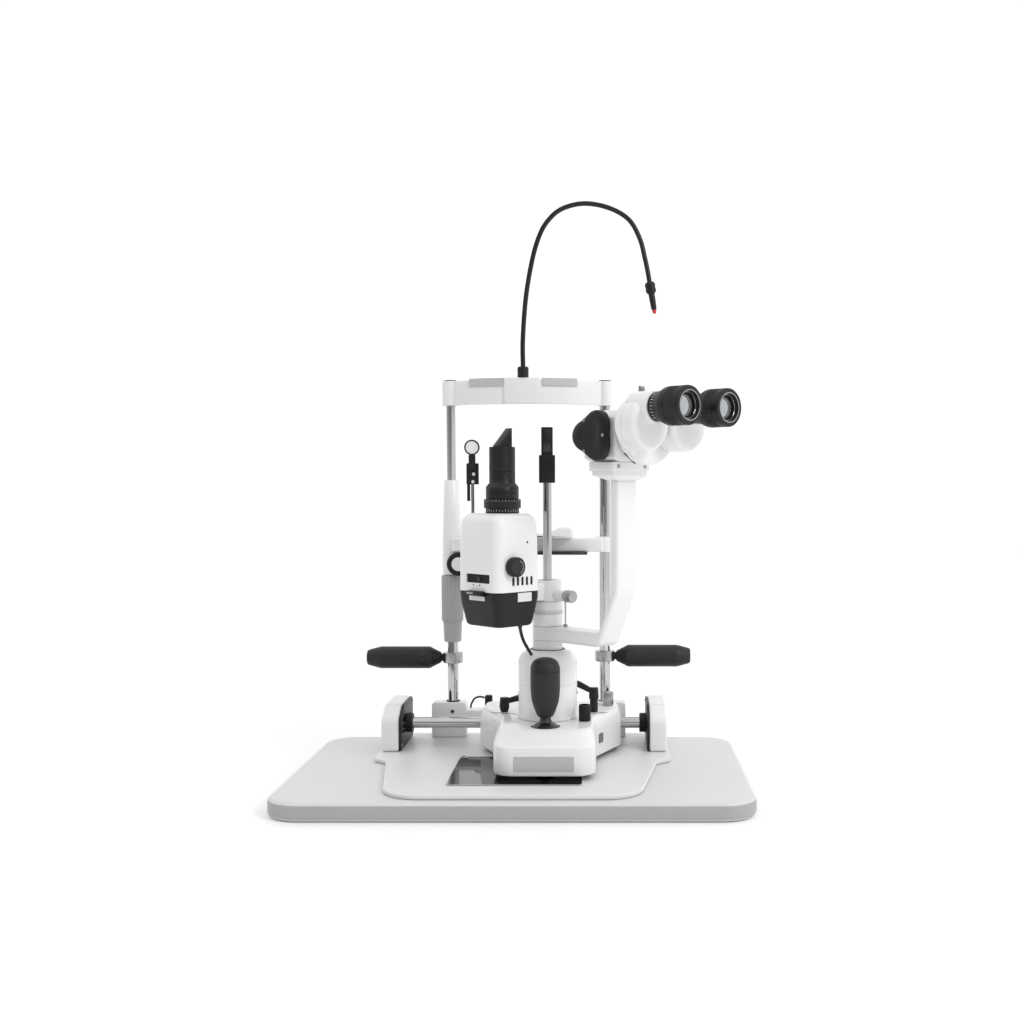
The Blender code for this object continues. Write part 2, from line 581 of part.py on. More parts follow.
def build_fill_light(lamp):
    """A small clip-on reflector on a chrome rod beside the lamp housing."""
    rod_at = pivot("fill_rod_axis", (-0.0460, -0.0915, 0), parent=lamp)
    facing = pivot("fill_facing", (0, 0, 0), -LAMP_TURN, rod_at)
    clamp = solid("fill_rod", rod(0.0023, 0.3350, 0.4150, 12), "chrome", facing)
    fuse(clamp, soften(box((-0.008, -0.004, 0.410), (0.008, 0.004, 0.438)), 0.001, 1))
    fuse(clamp, rod(0.0021, 0.3880, 0.4110, 12), at=(-0.0055, 0, 0))
    fuse(clamp, box((-0.0030, -0.007, 0.330), (0.0036, 0.007, 0.343)), turn=(0, 0, LAMP_TURN))
    neck = [(-0.0045, 0.4300, 0), (0.0045, 0.4300, 0), (0.0045, 0.4490, 0), (-0.0045, 0.4490, 0)]
    shank = prism(filleted(neck), 0.0043, 0.0083)
    head = solid("fill_reflector", shank, "black plastic", facing, turn=ALONG_FRONT)
    dish = [(0, 0.0043), (0.0098, 0.0043), (0.0106, 0.0052), (0.0106, 0.0083), (0.0090, 0.0083)]
    dish += [(0.0085, 0.0068), (0, 0.0068)]
    fuse(head, turned(dish), at=(0, 0, 0.4588), turn=ALONG_FRONT)


# ---------------------------------------------------------------- headrest
def build_headrest_frame():
    low, bridge, top = GLIDE_TOP + GAP, 0.060, 0.083
    half = [(0.094, bridge, 0.004), (0.094, low, 0), (0.1455, low, 0), (0.1455, top, 0.005)]
    half += [(0.094, top, 0.005), (0.094, 0.071, 0.003)]
    frame = prism(filleted(mirrored(half), 3), -0.190, -0.164)
    base = solid("headrest_base", frame, "white paint", turn=ALONG_FRONT)
    for side in (-1, 1):
        cut(base, rod(UPRIGHT_R + GAP, 0.0620, 0.0900), at=(side * UPRIGHT_X, UPRIGHT_Y, 0))
    top = BAND_HIGH - 0.006
    left = [(0, 0.0623), (UPRIGHT_R, 0.0623), (UPRIGHT_R, 0.300), (0.0068, 0.302), (0.0068, top), (0, top)]
    solid("upright_left", turned(left), "chrome", at=(-UPRIGHT_X, UPRIGHT_Y, 0))
    solid("upright_right", rod(UPRIGHT_R, 0.0623, top), "chrome", at=(UPRIGHT_X, UPRIGHT_Y, 0))


def band_angle(x):
    return math.asin(x / BAND_R)


def build_forehead_rest():
    centre = (0, BAND_FRONT + BAND_R)
    flat = [(-BAND_T, BAND_LOW), (0, BAND_LOW), (0, BAND_HIGH), (-BAND_T, BAND_HIGH)]
    reach = band_angle(0.1115)
    band = solid("forehead_band", swept_arc(flat, BAND_R, centre, -reach, reach, 20), "white paint")
    for side in (-1, 1):
        at = (side * UPRIGHT_X, UPRIGHT_Y, 0)
        fuse(band, rod(0.0127, BAND_LOW, BAND_HIGH), at=at)
        cut(band, rod(UPRIGHT_R + GAP, BAND_LOW - 0.01, BAND_HIGH + 0.01), at=at)
    over = BAND_HIGH + GAP
    clip = [(GAP, 0.5520), (0.0018, 0.5520), (0.0018, over + 0.0016), (-BAND_T - 0.0035, over + 0.0016)]
    clip += [(-BAND_T - 0.0035, 0.5290), (-BAND_T - GAP, 0.5290), (-BAND_T - GAP, over), (GAP, over)]
    for word, start, stop in (("left", -0.0830, -0.0330), ("right", 0.0240, 0.0740)):
        strip = swept_arc(clip, BAND_R, centre, band_angle(start), band_angle(stop), 6)
        solid(f"forehead_pad_{word}", strip, "grey rubber")
    cover = [(-BAND_T / 2, BAND_LOW + 0.001), (0.0024, BAND_LOW + 0.001), (0.0024, over + 0.0018)]
    cover += [(-BAND_T + 0.0006, over + 0.0018), (-BAND_T + 0.0006, BAND_HIGH - 0.003)]
    cover += [(-BAND_T / 2, BAND_HIGH - 0.003)]
    fuse(band, swept_arc(cover, BAND_R, centre, band_angle(-0.0310), band_angle(0.0200), 6))


def build_fixation_light():
    swivel = pivot("gooseneck_pivot", (-0.004, BAND_FRONT + 0.0045, 0))
    low = BAND_HIGH + 0.0018 + 2 * GAP
    collar = [(0, low), (0.0082, low), (0.0082, low + 0.014), (0.0070, low + 0.0155), (0, low + 0.0155)]
    solid("gooseneck_collar", turned(collar, SMALL), "black plastic", swivel)
    start = low + 0.0155 + GAP
    guides = [(0, start), (0.0000, 0.620), (0.0045, 0.678), (0.0130, 0.728), (0.0225, 0.762), (0.0350, 0.786)]
    guides += [(0.0560, 0.8045), (0.0885, 0.8125), (0.1240, 0.8065), (0.1530, 0.7900), (0.1690, 0.7630)]
    guides += [(0.1765, 0.7350), (0.1808, 0.7150), (0.1832, 0.7010)]
    route = smooth_route([(x, 0, z) for x, z in guides], 3)
    cable("gooseneck", route, 0.0035, "black metal", swivel, 2)
    tip = Vector((0.1832, 0, 0.7010)) - Vector((0.1808, 0, 0.7150))
    lean = math.atan2(-tip.x, -tip.z)
    head = [(0, GAP), (0.0058, GAP), (0.0076, 0.003), (0.0076, 0.0135), (0.0045, 0.0175)]
    head += [(0.0038, 0.040), (0.0030, 0.040), (0.0030, 0.0435), (0.0018, 0.0455), (0, 0.0460)]
    flip = (math.pi, lean, 0)
    solid("fixation_head", turned(head, SMALL), "black plastic", swivel, (0.1832, 0, 0.7010), flip)


def build_chin_rest():
    left, right = (-UPRIGHT_X, UPRIGHT_Y, 0), (UPRIGHT_X, UPRIGHT_Y, 0)
    knob = knurled(0.0162, 0.0705, 0.003, 12, 0.0007)
    dial = solid("chin_height_knob", knob, "grey plastic", at=(-UPRIGHT_X, UPRIGHT_Y, 0.2039))
    fuse(dial, turned([(0, 0.1740), (0.0128, 0.1740), (0.0142, 0.2080), (0, 0.2080)]), at=left)
    cut(dial, rod(AXLE_BORE, 0.16, 0.29), at=left)

    bar = soften(box((-0.1120, 0.150, CHIN_LOW), (0.1120, 0.1705, CHIN_HIGH)), 0.003)
    arm = solid("chin_rest_arm", bar, "white paint")
    tube = [(0, 0.2760), (0.0136, 0.2760), (0.0142, 0.2790), (0.0142, 0.3240), (0.0110, 0.4150)]
    fuse(arm, turned([*tube, (0.0100, 0.4160), (0, 0.4160)]), at=left)
    cut(arm, rod(AXLE_BORE, 0.26, 0.43, SMALL), at=left)
    fuse(arm, rod(0.0140, CHIN_LOW - 0.001, CHIN_HIGH + 0.001), at=right)
    cut(arm, rod(AXLE_BORE, 0.30, 0.34, SMALL), at=right)
    tray = soften(box((-0.089, 0.122, 0.3060), (0.089, 0.178, CHIN_LOW - GAP)), 0.001, 1)
    solid("chin_tray", tray, "black plastic")

    wall, dip = 0.3465, 0.3345
    half = [(0.010, dip, 0.030), (0.032, 0.3390, 0.020), (0.049, wall, 0.006), (0.067, wall, 0.005)]
    half += [(0.067, CHIN_HIGH + GAP, 0)]
    cup = soften(prism(filleted(mirrored(half), 4), -0.176, -0.122), 0.002, 1)
    solid("chin_cup", cup, "white paint", turn=ALONG_FRONT)

    lock = pivot("chin_lock_pivot", (-0.1018, UPRIGHT_Y - 0.0148, 0.2920))
    wheel = [(0, GAP), (0.0060, GAP), (0.0060, 0.0040), (0.0165, 0.0040), (0.0175, 0.0055)]
    wheel += [(0.0175, 0.0130), (0.0160, 0.0150), (0.0105, 0.0150), (0.0105, 0.0138), (0, 0.0138)]
    solid("chin_lock_knob", turned(wheel), "black plastic", lock, turn=ALONG_FRONT)


def build_hand_grips():
    for side, word, z in ((-1, "left", 0.1495), (1, "right", 0.1520)):
        at = (side * UPRIGHT_X, UPRIGHT_Y, z)
        shape = [(0, 0.0100), (0.0055, 0.0100), (0.0055, 0.0165), (0.0080, 0.0180), (0.0165, 0.0350)]
        shape += [(0.0165, 0.1080), (0.0120, 0.1250), (0.0100, 0.1285), (0, 0.1285)]
        outward = (0, side * math.pi / 2, 0)
        grip = solid(f"hand_grip_{word}", turned(shape), "black plastic", at=at, turn=outward)
        fuse(grip, rod(0.0148, -0.0078, 0.0078), at=at)
        cut(grip, rod(UPRIGHT_R + GAP, -0.02, 0.02), at=at)


# ---------------------------------------------------------------- leads
def build_leads(lamp):
    """Short leads held at both ends: lamp to turret, and plug to headrest bar."""
    spots = [(0.0120, -0.0600, COVER_LOW - GAP), (0.0115, -0.0590, 0.2180), (0.0075, -0.0500, 0.2020)]
    cable("lamp_lead", smooth_route([*spots, (0.0072, -0.0360, 0.1822)], 4), 0.0022, "black plastic", lamp)

    plug = soften(box((-0.0665, 0.1710, 0.0713), (-0.0555, 0.1830, 0.0920)), 0.002)
    solid("fixation_plug", plug, "black plastic")
    loop = [(-0.0674, 0.177, 0.0880), (-0.0740, 0.177, 0.0895), (-0.0820, 0.177, 0.0870)]
    loop += [(-0.0870, 0.177, 0.0790), (-0.0885, 0.177, 0.0728)]
    cable("fixation_lead", smooth_route(loop, 4), 0.0015, "black plastic")


def main():
    clear_scene()
    build_table()
    build_rails()
    carriage = pivot("carriage", (CARRIAGE_X, 0, 0))
    build_base(carriage)
    build_turret(carriage)
    build_joystick(carriage)
    build_controls(carriage)
    build_column(carriage)
    scope = pivot("microscope_axis", (CARRIAGE_X, 0, 0), SCOPE_TURN)
    build_microscope_arm(scope)
    build_magnifier(scope)
    build_binocular(scope)
    lamp = pivot("lamp_axis", (CARRIAGE_X, 0, 0), LAMP_TURN)
    build_lamp_arm(lamp)
    build_lamp_housing(lamp)
    build_lamp_controls(lamp)
    build_lamp_tower(lamp)
    build_fill_light(lamp)
    build_headrest_frame()
    build_forehead_rest()
    build_fixation_light()
    build_chin_rest()
    build_hand_grips()
    build_leads(lamp)


main()
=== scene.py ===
"""Looks of the slit lamp: smooth pieces for the CAD solids, small trim, print and materials.

Metres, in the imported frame: +X is the examiner's right, +Y points to the patient, +Z is up.
A piece named after a CAD node stands for that node; the others are trim that rides on one.
"""

import json
import math

import bmesh
import bpy
from mathutils import Euler, Matrix, Vector


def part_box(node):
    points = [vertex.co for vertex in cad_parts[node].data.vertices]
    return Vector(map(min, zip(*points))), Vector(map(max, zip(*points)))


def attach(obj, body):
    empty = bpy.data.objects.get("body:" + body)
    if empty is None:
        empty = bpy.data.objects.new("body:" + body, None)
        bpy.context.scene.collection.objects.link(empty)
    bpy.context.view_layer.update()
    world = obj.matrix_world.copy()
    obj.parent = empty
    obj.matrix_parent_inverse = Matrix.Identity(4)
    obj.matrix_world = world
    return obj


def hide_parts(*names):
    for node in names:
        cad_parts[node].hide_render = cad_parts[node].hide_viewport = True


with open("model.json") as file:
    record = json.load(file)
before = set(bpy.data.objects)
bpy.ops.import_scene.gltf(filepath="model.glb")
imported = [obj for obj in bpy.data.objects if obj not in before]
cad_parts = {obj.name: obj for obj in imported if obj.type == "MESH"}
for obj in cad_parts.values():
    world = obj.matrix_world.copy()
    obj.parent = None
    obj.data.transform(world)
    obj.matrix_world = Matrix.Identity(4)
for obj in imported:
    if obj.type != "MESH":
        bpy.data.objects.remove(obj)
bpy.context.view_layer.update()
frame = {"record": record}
BODIES = frame["record"]["behaviour"]["bodies"]
BODY_OF = {node: body for body, nodes in BODIES.items() for node in nodes}

# ---------------------------------------------------------------- driving dimensions
GAP = 0.0003
ROUND, MEDIUM, SMALL = 96, 64, 40  # sides of round pieces

TABLE_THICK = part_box("tabletop")[1].z
GLIDE_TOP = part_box("glide_plate")[1].z
PLATE_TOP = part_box("friction_plate")[1].z

AXLE_Y, AXLE_Z, AXLE_R = 0.111, 0.063, 0.008
AXLE_BORE = 0.0087
GUARD_IN, GUARD_OUT = 0.1783, 0.2035
GUARD_WALL = 0.003
WHEEL_R = 0.0132

DECK_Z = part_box("carriage_housing")[1].z
BASE_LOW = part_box("carriage_housing")[0].z
NOSE_HALF, WING_HALF = 0.0665, 0.1005
NOSE_FRONT, WING_BACK = -0.12, 0.13
STICK_Y, STICK_PIVOT_Z, DOME_R = -0.069, 0.075, 0.025

TURRET_R, TURRET_SHOULDER, TURRET_ROUND = 0.04, 0.168, 0.0182
POST_R, SPINDLE_R, HUB_BORE = 0.0204, 0.012, 0.0125
POST_LOW, ARM_LOW, ARM_HIGH = 0.112, 0.1996, 0.2181
LAMP_HUB_LOW, LAMP_HUB_HIGH = 0.2521, 0.2805

OPTIC_Z = 0.471
DRUM_Z, DRUM_R = 0.48, 0.046
PRISM_X, PRISM_Z, PRISM_R = 0.0345, 0.483, 0.0325
EYE_X, EYE_Z = 0.036, 0.503
KNOB_S = 0.136

LAMP_S = 0.0792
HOUSING_HALF, HOUSING_NEAR, HOUSING_FAR = 0.042, 0.048, 0.1235
HOUSING_LOW, HOUSING_HIGH = 0.2719, 0.3726
COVER_LOW = 0.2262

UPRIGHT_X, UPRIGHT_Y, UPRIGHT_R = 0.1145, 0.177, 0.008
BAND_LOW, BAND_HIGH = 0.526, 0.562
BAND_R, BAND_T, BAND_FRONT = 0.1853, 0.008, 0.13
CHIN_LOW, CHIN_HIGH = 0.31, 0.331

SIDES = ((-1, "left"), (1, "right"))
QUARTER = math.pi / 2
NO_TURN = (0, 0, 0)

# Turning a piece that is drawn along +Z so that it points along another axis.
ALONG_X = (QUARTER, 0, QUARTER)  # drawn x, y, z become Y, Z, X
ALONG_FRONT = (QUARTER, 0, 0)  # drawn x, y, z become X, Z, -Y
ALONG_SIDE = (0, -QUARTER, math.pi)  # drawn x, y, z become Z, -Y, X

WORLD = Matrix.Identity(4)
CARRIAGE = Matrix.Translation((0.037, 0, 0))
SCOPE = CARRIAGE @ Matrix.Rotation(math.radians(45), 4, "Z")
LAMP = CARRIAGE @ Matrix.Rotation(math.radians(-45), 4, "Z")


# ---------------------------------------------------------------- materials
def noise(nodes, links, vector, scale, detail):
    texture = nodes.new("ShaderNodeTexNoise")
    texture.inputs["Scale"].default_value = scale
    texture.inputs["Detail"].default_value = detail
    links.new(vector, texture.inputs["Vector"])
    return texture.outputs["Fac"]


def remap(nodes, links, value, low, high):
    span = nodes.new("ShaderNodeMapRange")
    span.inputs["From Min"].default_value, span.inputs["From Max"].default_value = 0.3, 0.7
    span.inputs["To Min"].default_value, span.inputs["To Max"].default_value = low, high
    links.new(value, span.inputs["Value"])
    return span.outputs["Result"]


def make_look(
    name, colour, roughness, metallic=0.0, vary=0.03, grain=900, depth=0.05, stretch=(1, 1, 1), **set_on
):
    """A surface with a broad change of tone, a change of gloss and a fine grain."""
    material = bpy.data.materials.new(name)
    material.use_nodes = True
    nodes, links = material.node_tree.nodes, material.node_tree.links
    shader = nodes["Principled BSDF"]
    shader.inputs["Metallic"].default_value = metallic
    for socket, value in set_on.items():
        shader.inputs[socket.replace("_", " ")].default_value = value
    place = nodes.new("ShaderNodeTexCoord").outputs["Object"]
    scaled = nodes.new("ShaderNodeMapping")
    scaled.inputs["Scale"].default_value = stretch
    links.new(place, scaled.inputs["Vector"])
    broad = noise(nodes, links, place, 14, 3)
    fine = noise(nodes, links, scaled.outputs["Vector"], grain, 4)

    tone = nodes.new("ShaderNodeValToRGB")
    tone.color_ramp.elements[0].position, tone.color_ramp.elements[1].position = 0.3, 0.7
    tone.color_ramp.elements[0].color = (*[max(c * (1 - vary), 0) for c in colour], 1)
    tone.color_ramp.elements[1].color = (*[min(c * (1 + vary), 1) for c in colour], 1)
    mixed = nodes.new("ShaderNodeMath")
    mixed.operation = "MULTIPLY_ADD"
    mixed.inputs[1].default_value = 0.35
    links.new(fine, mixed.inputs[0])
    softened = nodes.new("ShaderNodeMath")
    softened.operation = "MULTIPLY"
    softened.inputs[1].default_value = 0.65
    links.new(broad, softened.inputs[0])
    links.new(softened.outputs[0], mixed.inputs[2])
    links.new(mixed.outputs[0], tone.inputs["Fac"])
    links.new(tone.outputs["Color"], shader.inputs["Base Color"])
    gloss = remap(nodes, links, mixed.outputs[0], roughness * 0.85, roughness * 1.2)
    links.new(gloss, shader.inputs["Roughness"])

    bump = nodes.new("ShaderNodeBump")
    bump.inputs["Strength"].default_value = depth
    bump.inputs["Distance"].default_value = 0.0004
    links.new(fine, bump.inputs["Height"])
    links.new(bump.outputs["Normal"], shader.inputs["Normal"])
    return material


LOOKS = {
    "laminate": make_look(
        "tabletop laminate", (0.63, 0.63, 0.63), 0.42, vary=0.015, grain=2600, depth=0.08
    ),
    # A darker tone for the tabletop's sides: painted shade on the edges.
    "painted_side_shade": make_look("tabletop edging", (0.37, 0.37, 0.37), 0.45, vary=0.02, grain=2200, depth=0.1),
    "enamel": make_look(
        "white enamel", (0.8, 0.8, 0.795), 0.3, vary=0.015, grain=750, depth=0.07, Coat_Weight=0.25
    ),
    "plate": make_look("glide plate enamel", (0.68, 0.68, 0.68), 0.36, vary=0.02, grain=1100, depth=0.06),
    "white plastic": make_look(
        "chin rest plastic", (0.78, 0.78, 0.78), 0.34, vary=0.015, grain=1400, depth=0.04
    ),
    "black plastic": make_look(
        "black moulded plastic", (0.009, 0.009, 0.01), 0.42, vary=0.2, grain=1900, depth=0.2,
        Specular_IOR_Level=0.3,
    ),
    "black gloss": make_look(
        "black gloss plastic", (0.012, 0.012, 0.013), 0.2, vary=0.2, grain=1500, depth=0.03
    ),
    "grip": make_look(
        "grip rubber", (0.017, 0.017, 0.018), 0.48, vary=0.25, grain=1300, depth=0.3, Specular_IOR_Level=0.35
    ),
    "black metal": make_look(
        "black anodised metal", (0.018, 0.018, 0.02), 0.33, 0.5, vary=0.2, grain=2400, depth=0.1
    ),
    "grey plastic": make_look(
        "grey knob plastic", (0.36, 0.36, 0.37), 0.45, vary=0.05, grain=1500, depth=0.15
    ),
    "pad": make_look("forehead pad rubber", (0.5, 0.5, 0.5), 0.75, vary=0.06, grain=1100, depth=0.5),
    "chrome": make_look("polished chrome", (0.52, 0.52, 0.53), 0.07, 1.0, vary=0.02, grain=500, depth=0.01),
    "steel": make_look("turned steel", (0.4, 0.4, 0.41), 0.24, 1.0, vary=0.05, grain=1500, depth=0.06),
    "aluminium": make_look(
        "lamp block aluminium", (0.62, 0.62, 0.62), 0.35, 1.0, vary=0.05, grain=900, depth=0.1
    ),
    "black glass": make_look(
        "friction plate", (0.01, 0.01, 0.011), 0.06, vary=0.2, grain=300, depth=0.004
    ),
    "lens": make_look(
        "coated lens", (0.4, 0.42, 0.43), 0.06, 0.7, vary=0.15, grain=200, depth=0.0, Coat_Weight=1.0
    ),
    "cable": make_look("cable sheath", (0.016, 0.016, 0.017), 0.45, vary=0.2, grain=1600, depth=0.1),
    "red lamp": make_look("red fixation lamp", (0.55, 0.03, 0.03), 0.18, vary=0.1, grain=900, depth=0.02),
    "label": make_look("blank label", (0.7, 0.7, 0.69), 0.4, vary=0.03, grain=1800, depth=0.05),
    "name plate": make_look(
        "blank name plate", (0.47, 0.47, 0.48), 0.3, 0.8, vary=0.05, grain=900, depth=0.1,
        stretch=(0.05, 1, 1),
    ),
    # Also flat white discs for screw heads: painted glints.
    "white print and painted glint": make_look("white print and painted glint", (0.8, 0.8, 0.8), 0.45, vary=0.03, grain=1500, depth=0.02),
    # Dark print, and dark strips for slots as painted shade.
    "dark print and painted slot shade": make_look("dark print and painted slot shade", (0.05, 0.05, 0.05), 0.5, vary=0.1, grain=1500, depth=0.02),
    # Dark sheets put inside openings and recesses: painted shade.
    "hollow": make_look("painted shade in openings", (0.006, 0.006, 0.006), 0.8, vary=0.3, grain=900, depth=0.1),
}




# ---------------------------------------------------------------- modelling helpers
def frame_at(place, at=(0, 0, 0), turn=NO_TURN):
    return place @ Matrix.LocRotScale(Vector(at), Euler(turn), None)


def drawn(name, bm, seat):
    """A drawing as a mesh, moved to its seat."""
    bm.transform(seat)
    bmesh.ops.recalc_face_normals(bm, faces=bm.faces)
    mesh = bpy.data.meshes.new(name)
    bm.to_mesh(mesh)
    bm.free()
    return mesh


def shade(mesh, crease):
    mesh.shade_smooth()
    mesh.set_sharp_from_angle(angle=math.radians(crease))


def enrol(name, data, look, on):
    """A piece with its look and body. With no on, it stands for the CAD node of its name."""
    obj = bpy.data.objects.new(name if on else f"{name}_look", data)
    bpy.context.scene.collection.objects.link(obj)
    data.materials.append(LOOKS[look])
    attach(obj, BODY_OF[on or name])
    if not on:
        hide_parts(name)
    return obj


def solid(name, bm, look, place=WORLD, at=(0, 0, 0), turn=NO_TURN, on=None, crease=34):
    """A piece drawn in a place's frame."""
    mesh = drawn(name, bm, frame_at(place, at, turn))
    shade(mesh, crease)
    return enrol(name, mesh, look, on)


def combine(obj, bm, operation, seat, crease=34):
    """Cut a shape from a piece, or join it on, and keep the result as the piece's mesh."""
    tool = bpy.data.objects.new("tool", drawn("tool", bm, seat))
    bpy.context.scene.collection.objects.link(tool)
    step = obj.modifiers.new(operation, "BOOLEAN")
    step.object, step.operation = tool, operation
    view = bpy.context.evaluated_depsgraph_get()
    obj.data = bpy.data.meshes.new_from_object(obj.evaluated_get(view))
    obj.modifiers.clear()
    bpy.data.objects.remove(tool)
    shade(obj.data, crease)


def cut(obj, bm, place=WORLD, at=(0, 0, 0), turn=NO_TURN):
    combine(obj, bm, "DIFFERENCE", frame_at(place, at, turn))


def fuse(obj, bm, place=WORLD, at=(0, 0, 0), turn=NO_TURN):
    combine(obj, bm, "UNION", frame_at(place, at, turn))


def round_z(draw, angles):
    """Copies of a small shape round Z as one drawing; draw(k) gives the copy for the k-th angle."""
    mesh, copies = bpy.data.meshes.new("copy"), []
    for k, degrees in enumerate(angles):
        copies.append(draw(k))
        copies[k].transform(Matrix.Rotation(math.radians(degrees), 4, "Z"))
    for copy in copies[1:]:
        copy.to_mesh(mesh)
        copy.free()
        copies[0].from_mesh(mesh)
    bpy.data.meshes.remove(mesh)
    return copies[0]


def ribs(low, high, count):
    """A ring of thin ribs, as a knurl."""
    return round_z(lambda k: soften(block(low, high), 0.0002, 1), [360 * k / count for k in range(count)])


def scale_ring(low, high, short_top, long_top, every, angles):
    """A ring of ticks, from low to high but for their tops; one tick in every few is long."""
    def tick(k):
        return block(low, (*high, short_top if k % every else long_top))

    return round_z(tick, angles)


def turned(profile, segments=ROUND, ring=False):
    """A solid of revolution about Z from (radius, z) points, or a ring from its section."""
    bm = bmesh.new()
    angles = [2 * math.pi * k / segments for k in range(segments)]
    loops = []
    for radius, z in profile:
        if radius == 0:
            loops.append([bm.verts.new((0, 0, z))])
        else:
            spots = [(radius * math.cos(a), radius * math.sin(a), z) for a in angles]
            loops.append([bm.verts.new(spot) for spot in spots])
    follow = loops[1:] + loops[:1] if ring else loops[1:]
    for low, high in zip(loops, follow):
        for i in range(segments):
            j = (i + 1) % segments
            around = (low[i % len(low)], low[j % len(low)], high[j % len(high)], high[i % len(high)])
            corners = list(dict.fromkeys(around))
            if len(corners) > 2:
                bm.faces.new(corners)
    return bm


def eased(profile, radius, steps=4):
    """A turned profile with its corners rounded; the two ends stay."""
    outline = [profile[0]]
    for before, here, after in zip(profile, profile[1:], profile[2:]):
        here = Vector(here)
        back, ahead = Vector(before) - here, Vector(after) - here
        reach = min(radius, back.length * 0.45, ahead.length * 0.45)
        start, stop = here + back.normalized() * reach, here + ahead.normalized() * reach
        for k in range(steps + 1):
            t = k / steps
            outline.append(tuple(start.lerp(here, t).lerp(here.lerp(stop, t), t)))
    return [*outline, profile[-1]]


def rod(radius, low, high, segments=MEDIUM, ease=0.0):
    profile = [(0, low), (radius, low), (radius, high), (0, high)]
    return turned(eased(profile, ease) if ease else profile, segments)


def sleeve(inner, outer, low, high, segments=MEDIUM):
    return turned([(inner, low), (outer, low), (outer, high), (inner, high)], segments, ring=True)


def skinned(bm, loops):
    """Faces between neighbouring loops, and one on each end."""
    for low, high in zip(loops, loops[1:]):
        for i in range(len(low)):
            j = (i + 1) % len(low)
            bm.faces.new((low[i], low[j], high[j], high[i]))
    bm.faces.new(loops[0][::-1])
    bm.faces.new(loops[-1])
    return bm


def loft(rings):
    """A closed solid through outlines with the same number of points, as (outline, z)."""
    bm = bmesh.new()
    return skinned(bm, [[bm.verts.new((x, y, z)) for x, y in outline] for outline, z in rings])


def prism(outline, low, high):
    return loft([(outline, low), (outline, high)])


def block(low, high):
    (x0, y0, z0), (x1, y1, z1) = low, high
    return prism([(x0, y0), (x1, y0), (x1, y1), (x0, y1)], z0, z1)


def soften(bm, width, segments=4, angle=40):
    """Round the edges that are sharper than an angle."""
    bm.normal_update()
    sharp = [e for e in bm.edges if e.calc_face_angle(0) > math.radians(angle)]
    bmesh.ops.bevel(
        bm, geom=sharp, offset=width, segments=segments, profile=0.5, affect="EDGES", clamp_overlap=True
    )
    return bm


def filleted(corners, steps=12):
    """An outline from (x, y, radius) corners, each rounded by an arc."""
    outline = []
    for k, (x, y, radius) in enumerate(corners):
        here = Vector((x, y))
        back = (Vector(corners[k - 1][:2]) - here).normalized()
        ahead = (Vector(corners[(k + 1) % len(corners)][:2]) - here).normalized()
        if radius == 0:
            outline.append((x, y))
            continue
        half = back.angle(ahead) / 2
        middle = here + (back + ahead).normalized() * radius / math.sin(half)
        start = here + back * radius / math.tan(half) - middle
        sweep = start.angle_signed(here + ahead * radius / math.tan(half) - middle)
        for i in range(steps + 1):
            a = -sweep * i / steps
            c, s = math.cos(a), math.sin(a)
            outline.append((middle.x + start.x * c - start.y * s, middle.y + start.x * s + start.y * c))
    return outline


def rectangle(x0, y0, x1, y1, radius, steps=12):
    return filleted([(x0, y0, radius), (x1, y0, radius), (x1, y1, radius), (x0, y1, radius)], steps)


def mirrored(half):
    """Corners of a closed outline from its right half, listed front to back."""
    return half + [(-x, y, r) for x, y, r in reversed(half)]


def swept_arc(section, radius, centre, start, stop, steps):
    """A (radial, z) section carried along an arc in plan; angle 0 points to -Y."""
    bm = bmesh.new()
    loops = []
    for k in range(steps + 1):
        a = start + (stop - start) * k / steps
        across, along = math.sin(a), -math.cos(a)
        loop = []
        for r, z in section:
            reach = radius + r
            loop.append(bm.verts.new((centre[0] + reach * across, centre[1] + reach * along, z)))
        loops.append(loop)
    return skinned(bm, loops)


def cable(name, points, radius, look, place=WORLD):
    """A capped round tube along a list of points."""
    curve = bpy.data.curves.new(name, "CURVE")
    curve.dimensions, curve.bevel_depth, curve.bevel_resolution = "3D", radius, 6
    curve.use_fill_caps = True
    spline = curve.splines.new("POLY")
    spline.points.add(len(points) - 1)
    for spot, point in zip(spline.points, points):
        spot.co = (*(place @ Vector(point)), 1)
    spline.use_smooth = True
    enrol(name, curve, look, None)


def smooth_route(guides, per_span):
    """Points on a Catmull-Rom curve through the guides."""
    ends = [2 * Vector(guides[0]) - Vector(guides[1]), 2 * Vector(guides[-1]) - Vector(guides[-2])]
    knots = [ends[0], *map(Vector, guides), ends[1]]
    route = []
    for a, b, c, d in zip(knots, knots[1:], knots[2:], knots[3:]):
        for k in range(per_span):
            t = k / per_span
            bend = (2 * a - 5 * b + 4 * c - d) * t * t + (3 * b - a - 3 * c + d) * t ** 3
            route.append((2 * b + (c - a) * t + bend) / 2)
    return [*route, knots[-2]]


def polar(reach, count):
    """An outline whose radius is a function of the angle."""
    angles = [2 * math.pi * k / count for k in range(count)]
    return [(reach(a) * math.cos(a), reach(a) * math.sin(a)) for a in angles]


def knurled(radius, height, chamfer, teeth, depth):
    """A knob with a ribbed rim, drawn upward from z = 0."""
    def rim(inset):
        return polar(lambda a: radius - inset - depth * (0.5 - 0.5 * math.cos(teeth * a)) ** 2, 12 * teeth)

    rises = [(chamfer, 0), (chamfer * 0.3, chamfer * 0.3), (0, chamfer), (0, height - chamfer)]
    rises += [(chamfer * 0.3, height - chamfer * 0.3), (chamfer, height)]
    return loft([(rim(inset), z) for inset, z in rises])


def lobed(radius, swell, count=120):
    """A three-lobed outline."""
    return polar(lambda a: radius * (1 + swell * math.cos(3 * a)), count)


